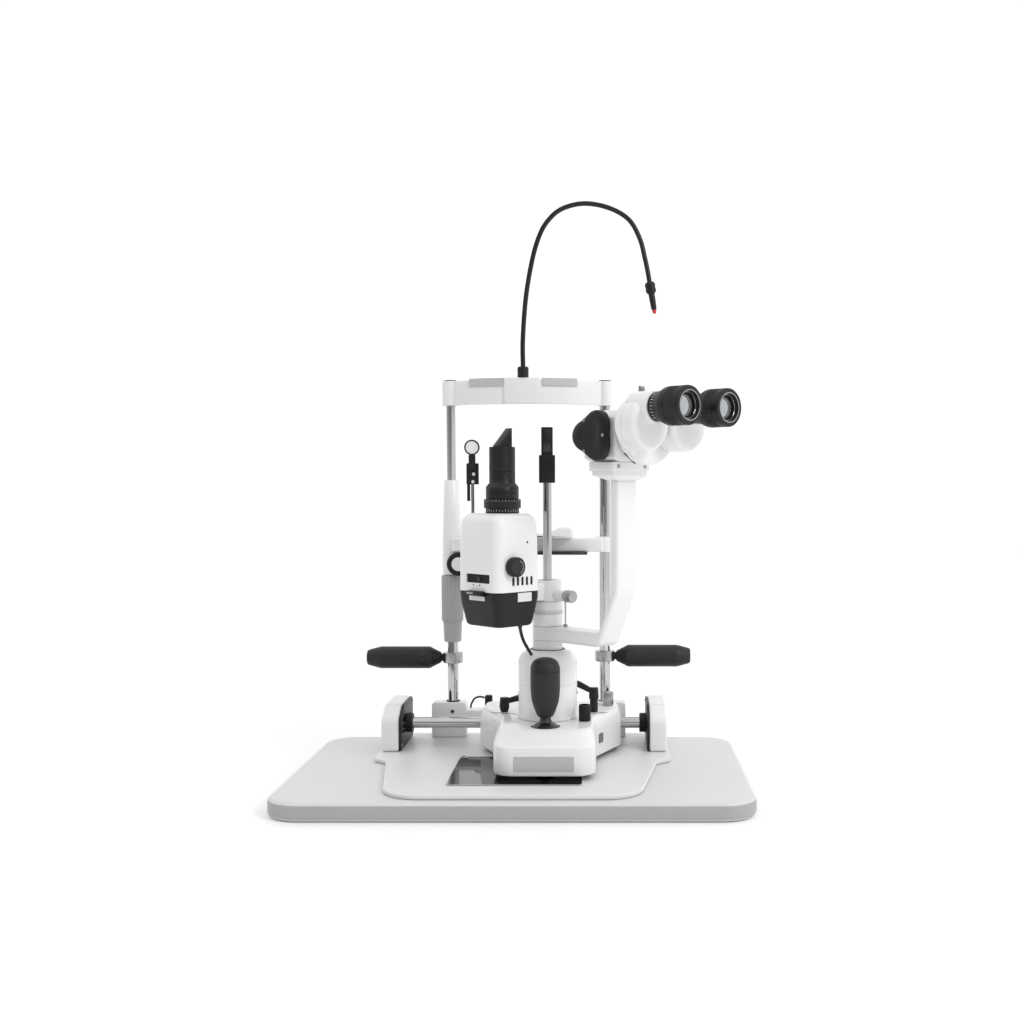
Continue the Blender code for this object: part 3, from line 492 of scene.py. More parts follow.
def screw_head(name, radius, height, on, place, at, turn=NO_TURN):
    """A small cross-recessed screw head, standing along its own +Z."""
    head = solid(name, rod(radius, 0, height, 24, radius * 0.25), "steel", place, at, turn, on=on)
    long, thin = radius * 0.62, radius * 0.12
    for spin in (0, QUARTER):
        bar = block((-long, -thin, height * 0.45), (long, thin, height * 1.2))
        bar.transform(Matrix.Rotation(spin, 4, "Z"))
        cut(head, bar, place, at, turn)


# ---------------------------------------------------------------- table and rails
def make_table():
    width, depth = 0.61, 0.405
    edge = rectangle(-width / 2, -depth / 2, width / 2, depth / 2, 0.045, 16)
    top = solid("tabletop", soften(prism(edge, 0, TABLE_THICK), 0.007, 6), "laminate")
    # Faces whose normals lie near level take the darker look: painted shade on the sides.
    top.data.materials.append(LOOKS["painted_side_shade"])
    for face in top.data.polygons:
        face.material_index = int(abs(face.normal.z) < 0.45)
    half = [(0.158, -0.187, 0.05), (0.187, 0.006, 0.02), (0.207, 0.022, 0.014)]
    shape = mirrored([*half, (0.207, 0.2, 0.01)])
    solid("glide_plate", soften(prism(filleted(shape, 14), TABLE_THICK + GAP, GLIDE_TOP), 0.002, 4), "plate")
    inlay = rectangle(-0.0848, -0.1368, 0.0848, 0.0228, 0.003, 6)
    solid("friction_plate", prism(inlay, GLIDE_TOP + GAP, PLATE_TOP - 0.0001), "black glass")
    rim = prism(rectangle(-0.086, -0.138, 0.086, 0.024, 0.004, 8), GLIDE_TOP + GAP, PLATE_TOP)
    trim = solid("friction_plate_rim", rim, "chrome", on="friction_plate")
    hole = rectangle(-0.085, -0.137, 0.085, 0.023, 0.003, 8)
    cut(trim, prism(hole, GLIDE_TOP, PLATE_TOP + 0.001))
    clip = soften(block((-0.0845, 0.0105, PLATE_TOP), (-0.0755, 0.0215, PLATE_TOP + 0.0016)), 0.0006, 3)
    solid("friction_plate_clip", clip, "steel", on="friction_plate")
    at = (-0.08, 0.016, PLATE_TOP + 0.0016)
    screw_head("friction_clip_screw", 0.002, 0.0012, "friction_plate", WORLD, at)


def guard_outline(inset):
    """The guard's side view as (Y, Z): upright front, sloped shoulder, flat top."""
    low = GLIDE_TOP + GAP + inset
    front, back, top = 0.061 + inset, 0.175 - inset, 0.0935 - inset
    corners = [
        (front, low, 0),
        (back, low, 0),
        (back, top, 0.01),
        (0.092 + inset / 2, top, 0.018),
        (front, 0.077 - inset / 2, 0.012),
    ]
    return filleted(corners, 10)


def make_guard(side, word):
    def across(near, far):
        return (near, far) if side > 0 else (-far, -near)

    shell = soften(prism(guard_outline(0), *across(GUARD_IN, GUARD_OUT)), 0.004, 5)
    guard = solid(f"rail_guard_{word}", shell, "enamel", turn=ALONG_X)
    hollow = prism(guard_outline(GUARD_WALL), *across(GUARD_IN - 0.001, GUARD_OUT - GUARD_WALL))
    cut(guard, hollow, turn=ALONG_X)
    low, high = across(0.1815, GUARD_OUT - GUARD_WALL / 2)
    fuse(guard, block((low, 0.062, GLIDE_TOP + GUARD_WALL / 2), (high, 0.1735, 0.0495)))

    plate = soften(prism(guard_outline(0.001), *across(0.1752, GUARD_IN - GAP)), 0.0006, 2)
    cover = solid(f"rail_cover_{word}", plate, "black plastic", turn=ALONG_X)
    slot = rectangle(0.068, AXLE_Z - 0.0095, 0.154, AXLE_Z + 0.0095, 0.009)
    cut(cover, prism(slot, *across(0.174, 0.18)), turn=ALONG_X)
    inward = (0, -side * QUARTER, 0)
    for count, (y, z) in enumerate(((0.0665, 0.038), (0.169, 0.038), (0.169, 0.086), (0.096, 0.087))):
        at, on = (side * 0.1752, y, z), f"rail_cover_{word}"
        screw_head(f"{on}_screw_{count}", 0.0022, 0.0009, on, WORLD, at, inward)

    near, far = across(0.165, 0.1749)
    ring = [(AXLE_BORE, near), (0.0132, near), (0.014, near + 0.0008), (0.014, far - 0.0008), (0.0132, far)]
    guide = turned([*ring, (AXLE_BORE, far)], ring=True)
    solid(f"axle_guide_{word}", guide, "black plastic", at=(0, AXLE_Y, AXLE_Z), turn=ALONG_X)


def make_rails():
    for side, word in SIDES:
        make_guard(side, word)
    wheel = [(AXLE_R, 0.1825), (0.012, 0.1825), (WHEEL_R, 0.184), (WHEEL_R, 0.195)]
    wheel += [(0.012, 0.1965), (0, 0.1965)]
    axle = [(r, -x) for r, x in reversed(wheel)] + wheel
    solid("cross_shaft", turned(axle), "chrome", at=(0, AXLE_Y, AXLE_Z), turn=ALONG_X)


# ---------------------------------------------------------------- carriage
def base_outline(inset, front=0.0):
    """Plan of the carriage: a rounded nose that flares to two wings round the cross shaft."""
    nose, wing = NOSE_HALF - inset, WING_HALF - inset
    half = [
        (nose, NOSE_FRONT + inset + front, 0.026),
        (nose, -0.004, 0.014),
        (wing, 0.074, 0.014),
        (wing, WING_BACK - inset, 0.014),
    ]
    return filleted(mirrored(half), 14)


def make_base():
    rise = [(0.0025, 0, BASE_LOW), (0.0007, 0, BASE_LOW + 0.0009), (0, 0, BASE_LOW + 0.003)]
    rise += [(0, 0, 0.074), (0.0002, 0.0015, 0.0757), (0.0008, 0.006, 0.0785), (0.0025, 0.014, 0.085)]
    rise += [(0.005, 0.019, 0.09), (0.0063, 0.0205, 0.0917), (0.008, 0.022, DECK_Z)]
    body = loft([(base_outline(inset, front), z) for inset, front, z in rise])
    base = solid("carriage_housing", body, "enamel", CARRIAGE)
    room = [(0.004, 0, BASE_LOW - 0.001), (0.004, 0, 0.07), (0.012, 0.026, 0.0885)]
    cut(base, loft([(base_outline(inset, front), z) for inset, front, z in room]), CARRIAGE)
    cut(base, rod(AXLE_BORE, -0.12, 0.12), CARRIAGE, (0, AXLE_Y, AXLE_Z), ALONG_X)
    mouth = [(0, 0.08), (0.0248, 0.08), (0.0248, 0.084), (0.0187, 0.0935), (0, 0.0935)]
    cut(base, turned(mouth), CARRIAGE, (0, STICK_Y, 0))


def make_base_trim():
    on = "carriage_housing"
    plate = prism(rectangle(-0.0385, 0.0437, 0.0385, 0.0629, 0.0012, 4), 0.12, 0.1204)
    solid("name_plate_rim", plate, "steel", CARRIAGE, turn=ALONG_FRONT, on=on)
    face = prism(rectangle(-0.0378, 0.0444, 0.0378, 0.0622, 0.001, 4), 0.1203, 0.1206)
    solid("name_plate_face", face, "name plate", CARRIAGE, turn=ALONG_FRONT, on=on)
    for side, word in SIDES:
        # Dark strips for the lever slots: painted shade in the slots.
        lines = prism(rectangle(-0.021, -0.0009, 0.021, 0.0009, 0.0009, 6), DECK_Z, DECK_Z + 0.0003)
        at = (side * 0.0625, 0.0245, 0)
        solid(f"lever_slot_{word}", lines, "dark print and painted slot shade", CARRIAGE, at, (0, 0, side * 0.35), on=on)
    # A small grille on the right-hand flare, which leans back from the nose to the wing.
    flare = math.atan2(0.078, 0.034)
    grille = frame_at(CARRIAGE, (0.0725, 0.0098, 0.061), (0, 0, flare))
    # The mesh layer is a dark panel behind the bars: painted shade in the grille's openings.
    layers = (("rim", 0.0078, 0.0003, "grey plastic"), ("mesh", 0.007, 0.0005, "hollow"))
    for name, half, depth, look in layers:
        panel = prism(rectangle(-half, 0.0008 - half, half, half - 0.0008, 0.002, 6), -0.001, depth)
        solid(f"side_grille_{name}", panel, look, grille, turn=ALONG_FRONT, on=on)
    for k in range(5):
        z = -0.0048 + 0.0024 * k
        bar = soften(block((-0.007, -0.0009, z - 0.0005), (0.007, -0.0003, z + 0.0005)), 0.0002, 2)
        solid(f"side_grille_bar_{k}", bar, "grey plastic", grille, on=on)


def make_turret():
    def shoulder(radius, degrees):
        a = math.radians(degrees)
        return 0.0218 + radius * math.cos(a), TURRET_SHOULDER + radius * math.sin(a)

    thick = 0.003
    outer = [shoulder(TURRET_ROUND, 5 * k) for k in range(19)]
    inner = [shoulder(TURRET_ROUND - thick, 7.5 * k) for k in range(12, -1, -1)]
    foot = DECK_Z + GAP
    lip = [(TURRET_R - thick, foot), (TURRET_R + 0.0008, foot), (TURRET_R + 0.0012, foot + 0.0004)]
    lip += [(TURRET_R + 0.0012, foot + 0.0028), (TURRET_R + 0.0008, foot + 0.0033), (TURRET_R, foot + 0.0036)]
    lip += [(TURRET_R, foot + 0.0045)]
    seam = [(TURRET_R, 0.14), (TURRET_R - 0.0006, 0.1403), (TURRET_R - 0.0006, 0.1407), (TURRET_R, 0.141)]
    turret = solid("turret_cover", turned([*lip, *seam, *outer, *inner], ring=True), "enamel", CARRIAGE)
    for side, word in SIDES:
        cut(turret, rod(0.001, 0.0975, 0.166, SMALL), CARRIAGE, (side * 0.0357, -0.0191, 0))
        at, turn = (side * TURRET_R, 0.004, 0.125), (0, side * QUARTER, 0)
        screw_head(f"turret_screw_{word}", 0.0024, 0.001, "turret_cover", CARRIAGE, at, turn)
    ring = sleeve(POST_R + 0.0006, POST_R + 0.003, 0.1862, 0.1866, ROUND)
    solid("turret_wiper", ring, "black plastic", CARRIAGE, on="turret_cover")


def make_joystick():
    stick = frame_at(CARRIAGE, (0, STICK_Y, STICK_PIVOT_Z))
    solid("joystick_gimbal", sleeve(0.0072, 0.0105, -0.003, 0.003), "steel", stick)

    def on_ball(radius, degrees):
        a = math.radians(degrees)
        return radius * math.sin(a), radius * math.cos(a)

    foot_r = STICK_PIVOT_Z - PLATE_TOP - GAP
    sole = [(0, -foot_r)]
    for degrees in (3, 6, 9, 12, 14.5, 17):
        r, z = on_ball(foot_r, degrees)
        sole.append((r, -z))
    sole += [(0.0125, -0.036), (0.0045, -0.032), (0.0045, 0.018)]
    dome = [on_ball(DOME_R - 0.0025, a) for a in range(20, 63, 6)]
    dome += [on_ball(DOME_R, a) for a in range(62, 21, -4)]
    neck = [(0.0078, 0.0255), (0.007, 0.031), (0.0045, 0.031), (0.0045, 0.06), (0, 0.06)]
    solid("joystick_stem", turned([*sole, *dome, *neck]), "black gloss", stick)

    bore = [(0, 0.061), (0.005, 0.061), (0.005, 0.0313)]
    grip = [(0.01, 0.0313), (0.0105, 0.0318), (0.0113, 0.0335), (0.0125, 0.036), (0.015, 0.043)]
    grip += [(0.0166, 0.0475), (0.0178, 0.052), (0.0185, 0.057), (0.019, 0.062), (0.0193, 0.068)]
    grip += [(0.0195, 0.074), (0.0195, 0.0898), (0.0192, 0.0902), (0.0186, 0.0903), (0.0186, 0.0909)]
    grip += [(0.0192, 0.091), (0.0195, 0.0914), (0.0193, 0.096), (0.0186, 0.099), (0.0175, 0.1015)]
    grip += [(0.0158, 0.1041), (0.0135, 0.106), (0.0105, 0.1075), (0.007, 0.1085), (0.0035, 0.1089)]
    solid("joystick_grip", turned([*bore, *grip, (0, 0.109)]), "grip", stick, crease=24)


def make_lever(name, x, stem, direction, rise):
    """A clamping lever: stem, conical hub with a screw and an offset handle."""
    lever = frame_at(CARRIAGE, (x, 0.036, DECK_Z + GAP), (0, 0, direction))
    hub = [(0, 0.0002), (0.0056, 0.0002), (0.0056, stem), (0.0062, stem), (0.007, stem + 0.004)]
    hub += [(0.0062, stem + 0.017), (0.004, stem + 0.0175), (0.004, stem + 0.0165), (0, stem + 0.0165)]
    piece = solid(name, turned(eased(hub, 0.0006), SMALL), "black plastic", lever)
    handle = [(0, 0), (0.0036, 0), (0.0045, 0.022), (0.0044, 0.026), (0.0042, 0.029), (0.0028, 0.0305)]
    bar = turned(eased([*handle, (0, 0.031)], 0.0015), SMALL)
    fuse(piece, bar, lever, (0.001, 0, stem + 0.011), (0, QUARTER - rise, 0))
    screw_head(f"{name}_screw", 0.0033, 0.0012, name, lever, (0, 0, stem + 0.0166))


def make_controls():
    make_lever("lock_lever_left", -0.0625, 0.003, math.radians(35), math.radians(8))
    make_lever("lock_lever_right", 0.0625, 0.017, math.radians(150), math.radians(20))
    dimmer = frame_at(CARRIAGE, (0.051, -0.031, DECK_Z + GAP))
    solid("dimmer_knob", knurled(0.008, 0.022, 0.001, 24, 0.0004), "black plastic", dimmer)
    cap = rod(0.006, 0.0216, 0.022, SMALL)
    disc = solid("dimmer_knob_cap", cap, "black gloss", dimmer, on="dimmer_knob")
    fuse(disc, block((-0.0004, 0.002, 0.021), (0.0004, 0.0058, 0.022)), dimmer)
    lock = frame_at(CARRIAGE, (0.0825, 0.088, DECK_Z + GAP))
    solid("carriage_lock_knob", knurled(0.0076, 0.0195, 0.0012, 30, 0.0003), "steel", lock)


# ---------------------------------------------------------------- column
def make_column():
    low, high, seam = ARM_HIGH + GAP, LAMP_HUB_LOW - GAP, 0.2343
    post = [(0, POST_LOW), (POST_R, POST_LOW), (POST_R, ARM_LOW - 0.0009), (POST_R - 0.0006, ARM_LOW - GAP)]
    post += [(SPINDLE_R, ARM_LOW - GAP), (SPINDLE_R, low), (POST_R - 0.0006, low), (POST_R, low + 0.0006)]
    post += [(POST_R, seam), (POST_R - 0.0008, seam + 0.0003), (POST_R - 0.0008, seam + 0.0006)]
    post += [(POST_R, seam + 0.0009), (POST_R, high - 0.0006), (POST_R - 0.0006, high), (SPINDLE_R, high)]
    post += [(SPINDLE_R, 0.2798), (0.0064, 0.2798), (0.0064, 0.252), (0, 0.252)]
    solid("column_post", turned(post), "enamel", CARRIAGE)
    for k in range(37):
        degrees = -90 + 5 * k
        tall = 0.006 if k % 2 == 0 else 0.0038
        tick = block((POST_R - 0.0004, -0.00022, 0.2352), (POST_R + 0.00006, 0.00022, 0.2352 + tall))
        spin = (0, 0, math.radians(degrees - 90))
        solid(f"scale_tick_{k:02d}", tick, "dark print and painted slot shade", CARRIAGE, turn=spin, on="column_post")

    test = [(0, 0.2525), (0.0055, 0.2525), (0.006, 0.253), (0.006, 0.42), (0, 0.42)]
    solid("focus_rod", turned(test), "chrome", CARRIAGE)
    grip = soften(block((-0.0107, -0.008, 0.412), (0.0107, 0.008, 0.4495)), 0.001, 3)
    target = solid("focus_target", grip, "black plastic", CARRIAGE, on="focus_rod")
    fuse(target, soften(block((-0.0077, -0.004, 0.447), (0.0077, 0.004, 0.487)), 0.0006, 3), CARRIAGE)
    face = block((-0.005, -0.0043, 0.454), (0.005, -0.0038, 0.484))
    solid("focus_target_face", soften(face, 0.0002, 2), "black gloss", CARRIAGE, on="focus_rod")


# ---------------------------------------------------------------- microscope
def make_microscope_arm():
    profile = [
        (0.004, ARM_LOW, 0),
        (0.1165, ARM_LOW, 0.014),
        (0.1515, 0.274, 0.05),
        (0.1515, 0.416, 0),
        (0.1365, 0.416, 0),
        (0.1365, 0.263, 0.04),
        (0.1155, ARM_HIGH, 0.012),
        (0.004, ARM_HIGH, 0),
    ]
    side = prism([(z, s) for s, z in filleted(profile, 14)], -0.018, 0.018)
    arm = solid("microscope_arm", soften(side, 0.004, 5, 50), "enamel", SCOPE, turn=ALONG_SIDE)
    fuse(arm, rod(POST_R, ARM_LOW, ARM_HIGH, ROUND, 0.0006), SCOPE)
    cut(arm, rod(HUB_BORE, ARM_LOW - 0.01, ARM_HIGH + 0.01, ROUND), SCOPE)
    low = rectangle(-0.02, -0.1525, 0.02, -0.1355, 0.002, 4)
    high = rectangle(-0.031, -0.157, 0.031, -0.118, 0.002, 4)
    fuse(arm, loft([(low, 0.415), (high, 0.4215), (high, 0.4277)]), SCOPE)
    plate = rectangle(-0.034, -0.159, 0.034, -0.115, 0.003, 6)
    fuse(arm, soften(prism(plate, 0.427, 0.4385), 0.0012, 3), SCOPE)
    for side, word in SIDES:
        at, name = (side * 0.024, -0.159, 0.4327), f"head_plate_screw_{word}"
        screw_head(name, 0.0026, 0.0008, "microscope_arm", SCOPE, at, ALONG_FRONT)


def make_magnifier():
    low, high = 0.4388, 0.5035
    half = [(0.024, low, 0.003), (0.034, low + 0.004, 0.003), (0.034, high - 0.01, 0.006)]
    half += [(0.022, high, 0.006)]
    shell = soften(prism(filleted(mirrored(half), 8), 0.1076, 0.163), 0.001, 3, 60)
    head = solid("magnifier_housing", shell, "enamel", SCOPE, turn=ALONG_FRONT)
    cut(head, block((-0.031, -0.16, low + 0.003), (0.031, -0.1106, high - 0.01)), SCOPE)
    cut(head, rod(0.0078, -0.04, 0.04), SCOPE, (0, -KNOB_S, OPTIC_Z), ALONG_X)
    for side in (-1, 1):
        cut(head, rod(0.0095, 0.1, 0.17), SCOPE, (side * 0.0115, 0, OPTIC_Z), ALONG_FRONT)

    axle = frame_at(SCOPE, (0, -KNOB_S, OPTIC_Z))
    drum = [(0, -0.041), (0.007, -0.041), (0.007, -0.027), (0.018, -0.027), (0.018, 0.027)]
    drum += [(0.007, 0.027), (0.007, 0.041), (0, 0.041)]
    knobs = solid("magnification_knobs", turned(drum), "black plastic", axle, turn=ALONG_X)
    rims = [(0.93, 0.04), (0.975, 0.0403), (1.0, 0.0412), (1.0, 0.0487), (0.985, 0.0502)]
    rims += [(0.9, 0.0516), (0.62, 0.052), (0.56, 0.0514)]
    for side, word in SIDES:
        stack = [(lobed(0.0293 * scale, 0.155), side * depth) for scale, depth in rims]
        fuse(knobs, loft(stack), axle, turn=ALONG_X)
        for k in range(3):
            a = 2 * math.pi * k / 3 + math.pi
            place = (side * 0.0512, 0.0222 * math.cos(a), 0.0222 * math.sin(a))
            dot, name = rod(0.0021, 0, 0.0008, 24, 0.0003), f"magnification_dot_{word}_{k}"
            solid(name, dot, "steel", axle, place, (0, side * QUARTER, 0), on="magnification_knobs")

    ring = [(0, 0.105), (0.019, 0.105), (0.019, 0.0989), (0.0194, 0.0985), (0.0222, 0.0985)]
    ring += [(0.0228, 0.099), (0.0235, 0.1005), (0.0235, 0.1073), (0, 0.1073)]
    solid("objective", turned(ring), "black metal", SCOPE, (0, 0, OPTIC_Z), ALONG_FRONT)
    glass = [(0, 0.1005)] + [(0.0186 * k / 8, 0.1005 + 0.0018 * (k / 8) ** 2) for k in range(1, 9)]
    glass += [(0.0186, 0.1048), (0, 0.1048)]
    solid("objective_lens", turned(glass), "lens", SCOPE, (0, 0, OPTIC_Z), ALONG_FRONT, on="objective")


def make_binocular():
    drum = [(0, 0.1633), (0.03, 0.1633), (0.036, 0.165), (0.0393, 0.1706), (0.044, 0.1765)]
    drum += [(DRUM_R, 0.181), (DRUM_R, 0.19), (0.0445, 0.193), (0, 0.193)]
    body = solid("binocular_body", turned(eased(drum, 0.0022)), "enamel", SCOPE, (0, 0, DRUM_Z), ALONG_FRONT)
    seam = sleeve(DRUM_R - 0.0006, DRUM_R + 0.002, 0.1868, 0.1873, ROUND)
    cut(body, seam, SCOPE, (0, 0, DRUM_Z), ALONG_FRONT)
    lock = frame_at(SCOPE, (0, -0.176, DRUM_Z + DRUM_R - 0.002))
    knob = knurled(0.0042, 0.009, 0.0008, 20, 0.0003)
    solid("binocular_lock_knob", knob, "steel", lock, on="binocular_body")
    # A dark strip for the binocular's slot: painted shade.
    slot = prism(rectangle(-0.012, -0.0014, 0.012, 0.0014, 0.0014, 6), 0, 0.0005)
    at, turn = (-0.0245, -0.179, DRUM_Z - 0.0375), (0, math.radians(-147), 0)
    solid("binocular_slot", slot, "dark print and painted slot shade", SCOPE, at, turn, on="binocular_body")

    for side, word in SIDES:
        prism_at = frame_at(SCOPE, (side * PRISM_X, 0, PRISM_Z))
        shell = [(0, 0.1933), (0.031, 0.1933), (PRISM_R, 0.195), (PRISM_R, 0.2215)]
        shell += [(0.0285, 0.2262), (0, 0.2262)]
        name = f"prism_housing_{word}"
        housing = solid(name, turned(eased(shell, 0.0025)), "enamel", prism_at, turn=ALONG_FRONT)
        eye_dx, eye_dz = side * (EYE_X - PRISM_X), EYE_Z - PRISM_Z
        tube = rod(0.0195, 0.2, 0.2355, MEDIUM, 0.0008)
        fuse(housing, tube, prism_at, (eye_dx, 0, eye_dz), ALONG_FRONT)
        groove = sleeve(PRISM_R - 0.0005, PRISM_R + 0.002, 0.204, 0.2045, ROUND)
        cut(housing, groove, prism_at, turn=ALONG_FRONT)
        make_eyepiece(f"eyepiece_{word}", frame_at(SCOPE, (side * EYE_X, 0, EYE_Z)))


def make_eyepiece(name, eye):
    barrel = [(0, 0.2358), (0.0174, 0.2358), (0.0178, 0.2362), (0.0178, 0.2396), (0.0181, 0.24)]
    barrel += [(0.0185, 0.244), (0.0203, 0.2492), (0.0222, 0.2538), (0.0231, 0.2562), (0.0235, 0.259)]
    barrel += [(0.0235, 0.264), (0.0229, 0.2644), (0.0229, 0.278), (0.0235, 0.2784), (0.0235, 0.285)]
    barrel += [(0.0232, 0.2868), (0.0222, 0.288), (0.0172, 0.288), (0.0165, 0.2874), (0.0155, 0.282)]
    barrel += [(0.015, 0.279), (0.0128, 0.2784), (0, 0.2784)]
    solid(name, turned(barrel), "black plastic", eye, turn=ALONG_FRONT, crease=24)
    knurl = ribs((0.0226, -0.0006, 0.2648), (0.0234, 0.0006, 0.2776), 60)
    solid(f"{name}_knurl", knurl, "grip", eye, turn=ALONG_FRONT, on=name)
    for label, radius, z in (("outer", 0.0181, 0.28802), ("inner", 0.0159, 0.2838)):
        ring = sleeve(radius - 0.0008, radius + 0.0002, z - 0.0012, z, ROUND)
        solid(f"{name}_{label}_ring", ring, "steel", eye, turn=ALONG_FRONT, on=name)
    glass = [(0, 0.2818)] + [(0.0126 * k / 8, 0.2818 - 0.0022 * (k / 8) ** 2) for k in range(1, 9)]
    glass += [(0.0126, 0.2785), (0, 0.2785)]
    solid(f"{name}_lens", turned(glass), "lens", eye, turn=ALONG_FRONT, on=name)
    low, high = (0.0178, -0.00022, 0.2408), (0.0187, 0.00022)
    marks = scale_ring(low, high, 0.2434, 0.245, 2, range(132, 229, 12))
    solid(f"{name}_scale", marks, "white print and painted glint", eye, turn=ALONG_FRONT, on=name)


# ---------------------------------------------------------------- lamp
def housing_outline(inset):
    edge = HOUSING_HALF - inset
    return rectangle(-edge, -HOUSING_FAR + inset, edge, -HOUSING_NEAR - inset, 0.013 - inset / 2, 12)


def make_lamp_arm():
    hub = [(HUB_BORE, LAMP_HUB_LOW), (0.0184, LAMP_HUB_LOW), (0.019, LAMP_HUB_LOW + 0.0006)]
    hub += [(0.019, LAMP_HUB_HIGH - 0.0012), (0.0178, LAMP_HUB_HIGH), (HUB_BORE, LAMP_HUB_HIGH)]
    arm = solid("lamp_arm", turned(hub, ring=True), "enamel", LAMP)
    bridge = soften(block((-0.0135, -HOUSING_NEAR + GAP, 0.2545), (0.0135, -0.0165, 0.278)), 0.002, 4)
    fuse(arm, bridge, LAMP)
    fuse(arm, rod(0.0072, 0.0165, 0.036, MEDIUM, 0.0006), LAMP, (0, 0, 0.2605), ALONG_X)
    clamp = frame_at(LAMP, (0, 0, 0.2605))
    screw = knurled(0.0082, 0.0145, 0.0012, 30, 0.0003)
    solid("arm_lock_knob", screw, "steel", clamp, (0.0363, 0, 0), ALONG_X)
    pin = solid("index_pin", rod(0.0011, 0.2205, 0.2545, SMALL), "steel", LAMP, (0.0356, 0, 0), on="lamp_arm")
    foot = soften(block((-0.003, -0.0022, 0.219), (0.003, 0.0022, 0.2225)), 0.0005, 2)
    fuse(pin, foot, LAMP, (0.0356, 0, 0))
    ring = sleeve(SPINDLE_R - 0.005, SPINDLE_R, LAMP_HUB_HIGH - 0.0011, LAMP_HUB_HIGH - 0.0001, ROUND)
    solid("spindle_ring", ring, "steel", CARRIAGE, on="column_post")


def make_lamp_housing():
    steps = [(0, HOUSING_LOW), (0.0005, 0.34), (0.0015, 0.36), (0.0021, 0.363), (0.003, 0.3655)]
    steps += [(0.0048, 0.368), (0.0075, 0.3704), (0.011, HOUSING_HIGH)]
    shell = loft([(housing_outline(inset), z) for inset, z in steps])
    housing = solid("lamp_housing", shell, "enamel", LAMP)
    room = [(housing_outline(0.003), HOUSING_LOW - 0.001), (housing_outline(0.0055), 0.362)]
    cut(housing, loft(room), LAMP)
    tower = frame_at(LAMP, (0, -LAMP_S, 0))
    fuse(housing, rod(0.0216, HOUSING_HIGH - 0.004, 0.379, ROUND), tower)
    cut(housing, rod(0.0125, HOUSING_HIGH - 0.02, 0.39), tower)
    band = sleeve(0.0212, 0.0219, HOUSING_HIGH + 0.0001, 0.3789, ROUND)
    solid("slit_scale", band, "black plastic", tower, on="lamp_housing")
    low, high = (0.0215, -0.0002, 0.3748), (0.022, 0.0002)
    marks = scale_ring(low, high, 0.377, 0.3782, 3, range(0, 360, 10))
    solid("slit_scale_marks", marks, "white print and painted glint", tower, on="lamp_housing")
    slot_low, slot_high = 0.28, 0.2915
    for k in range(5):
        s = 0.066 + 0.0077 * k
        slot = rectangle(-s - 0.0021, slot_low, -s + 0.0021, slot_high, 0.0018, 4)
        cut(housing, prism(slot, 0.036, 0.045), LAMP, turn=ALONG_X)
    window = rectangle(-0.021, 0.2832, 0.026, 0.2948, 0.0012, 4)
    cut(housing, prism(window, HOUSING_FAR - 0.0022, HOUSING_FAR + 0.002), LAMP, turn=ALONG_FRONT)
    cut(housing, rod(0.0015, 0.0405, 0.045, 24), LAMP, (0, -0.0725, 0.3357), ALONG_X)

    steps = [(0.01, COVER_LOW), (0.009, COVER_LOW + 0.0006), (0.007, 0.2285), (0.0055, 0.234)]
    steps += [(0.004, 0.242), (0.0022, 0.25), (0.0008, 0.258), (0, 0.264), (0, HOUSING_LOW - 0.0008)]
    tray = loft([(housing_outline(inset), z) for inset, z in [*steps, (0.0005, HOUSING_LOW - GAP)]])
    cover = solid("lamp_cover", tray, "black plastic", LAMP)
    inside = [(0.0115, 0.23), (0.003, 0.262), (0.003, 0.2725)]
    cut(cover, loft([(housing_outline(inset), z) for inset, z in inside]), LAMP)
    cut(cover, block((-0.0155, -0.126, 0.2672), (0.02, -0.118, 0.2725)), LAMP)

    heart = solid("led_module", block((-0.02, -0.101, 0.235), (0.02, -0.06, 0.295)), "aluminium", LAMP)
    fuse(heart, rod(0.015, 0.29, 0.356), tower)
    for k in range(6):
        s = 0.063 + 0.0068 * k
        cut(heart, block((-0.021, -s - 0.0015, 0.234), (0.021, -s + 0.0015, 0.25)), LAMP)


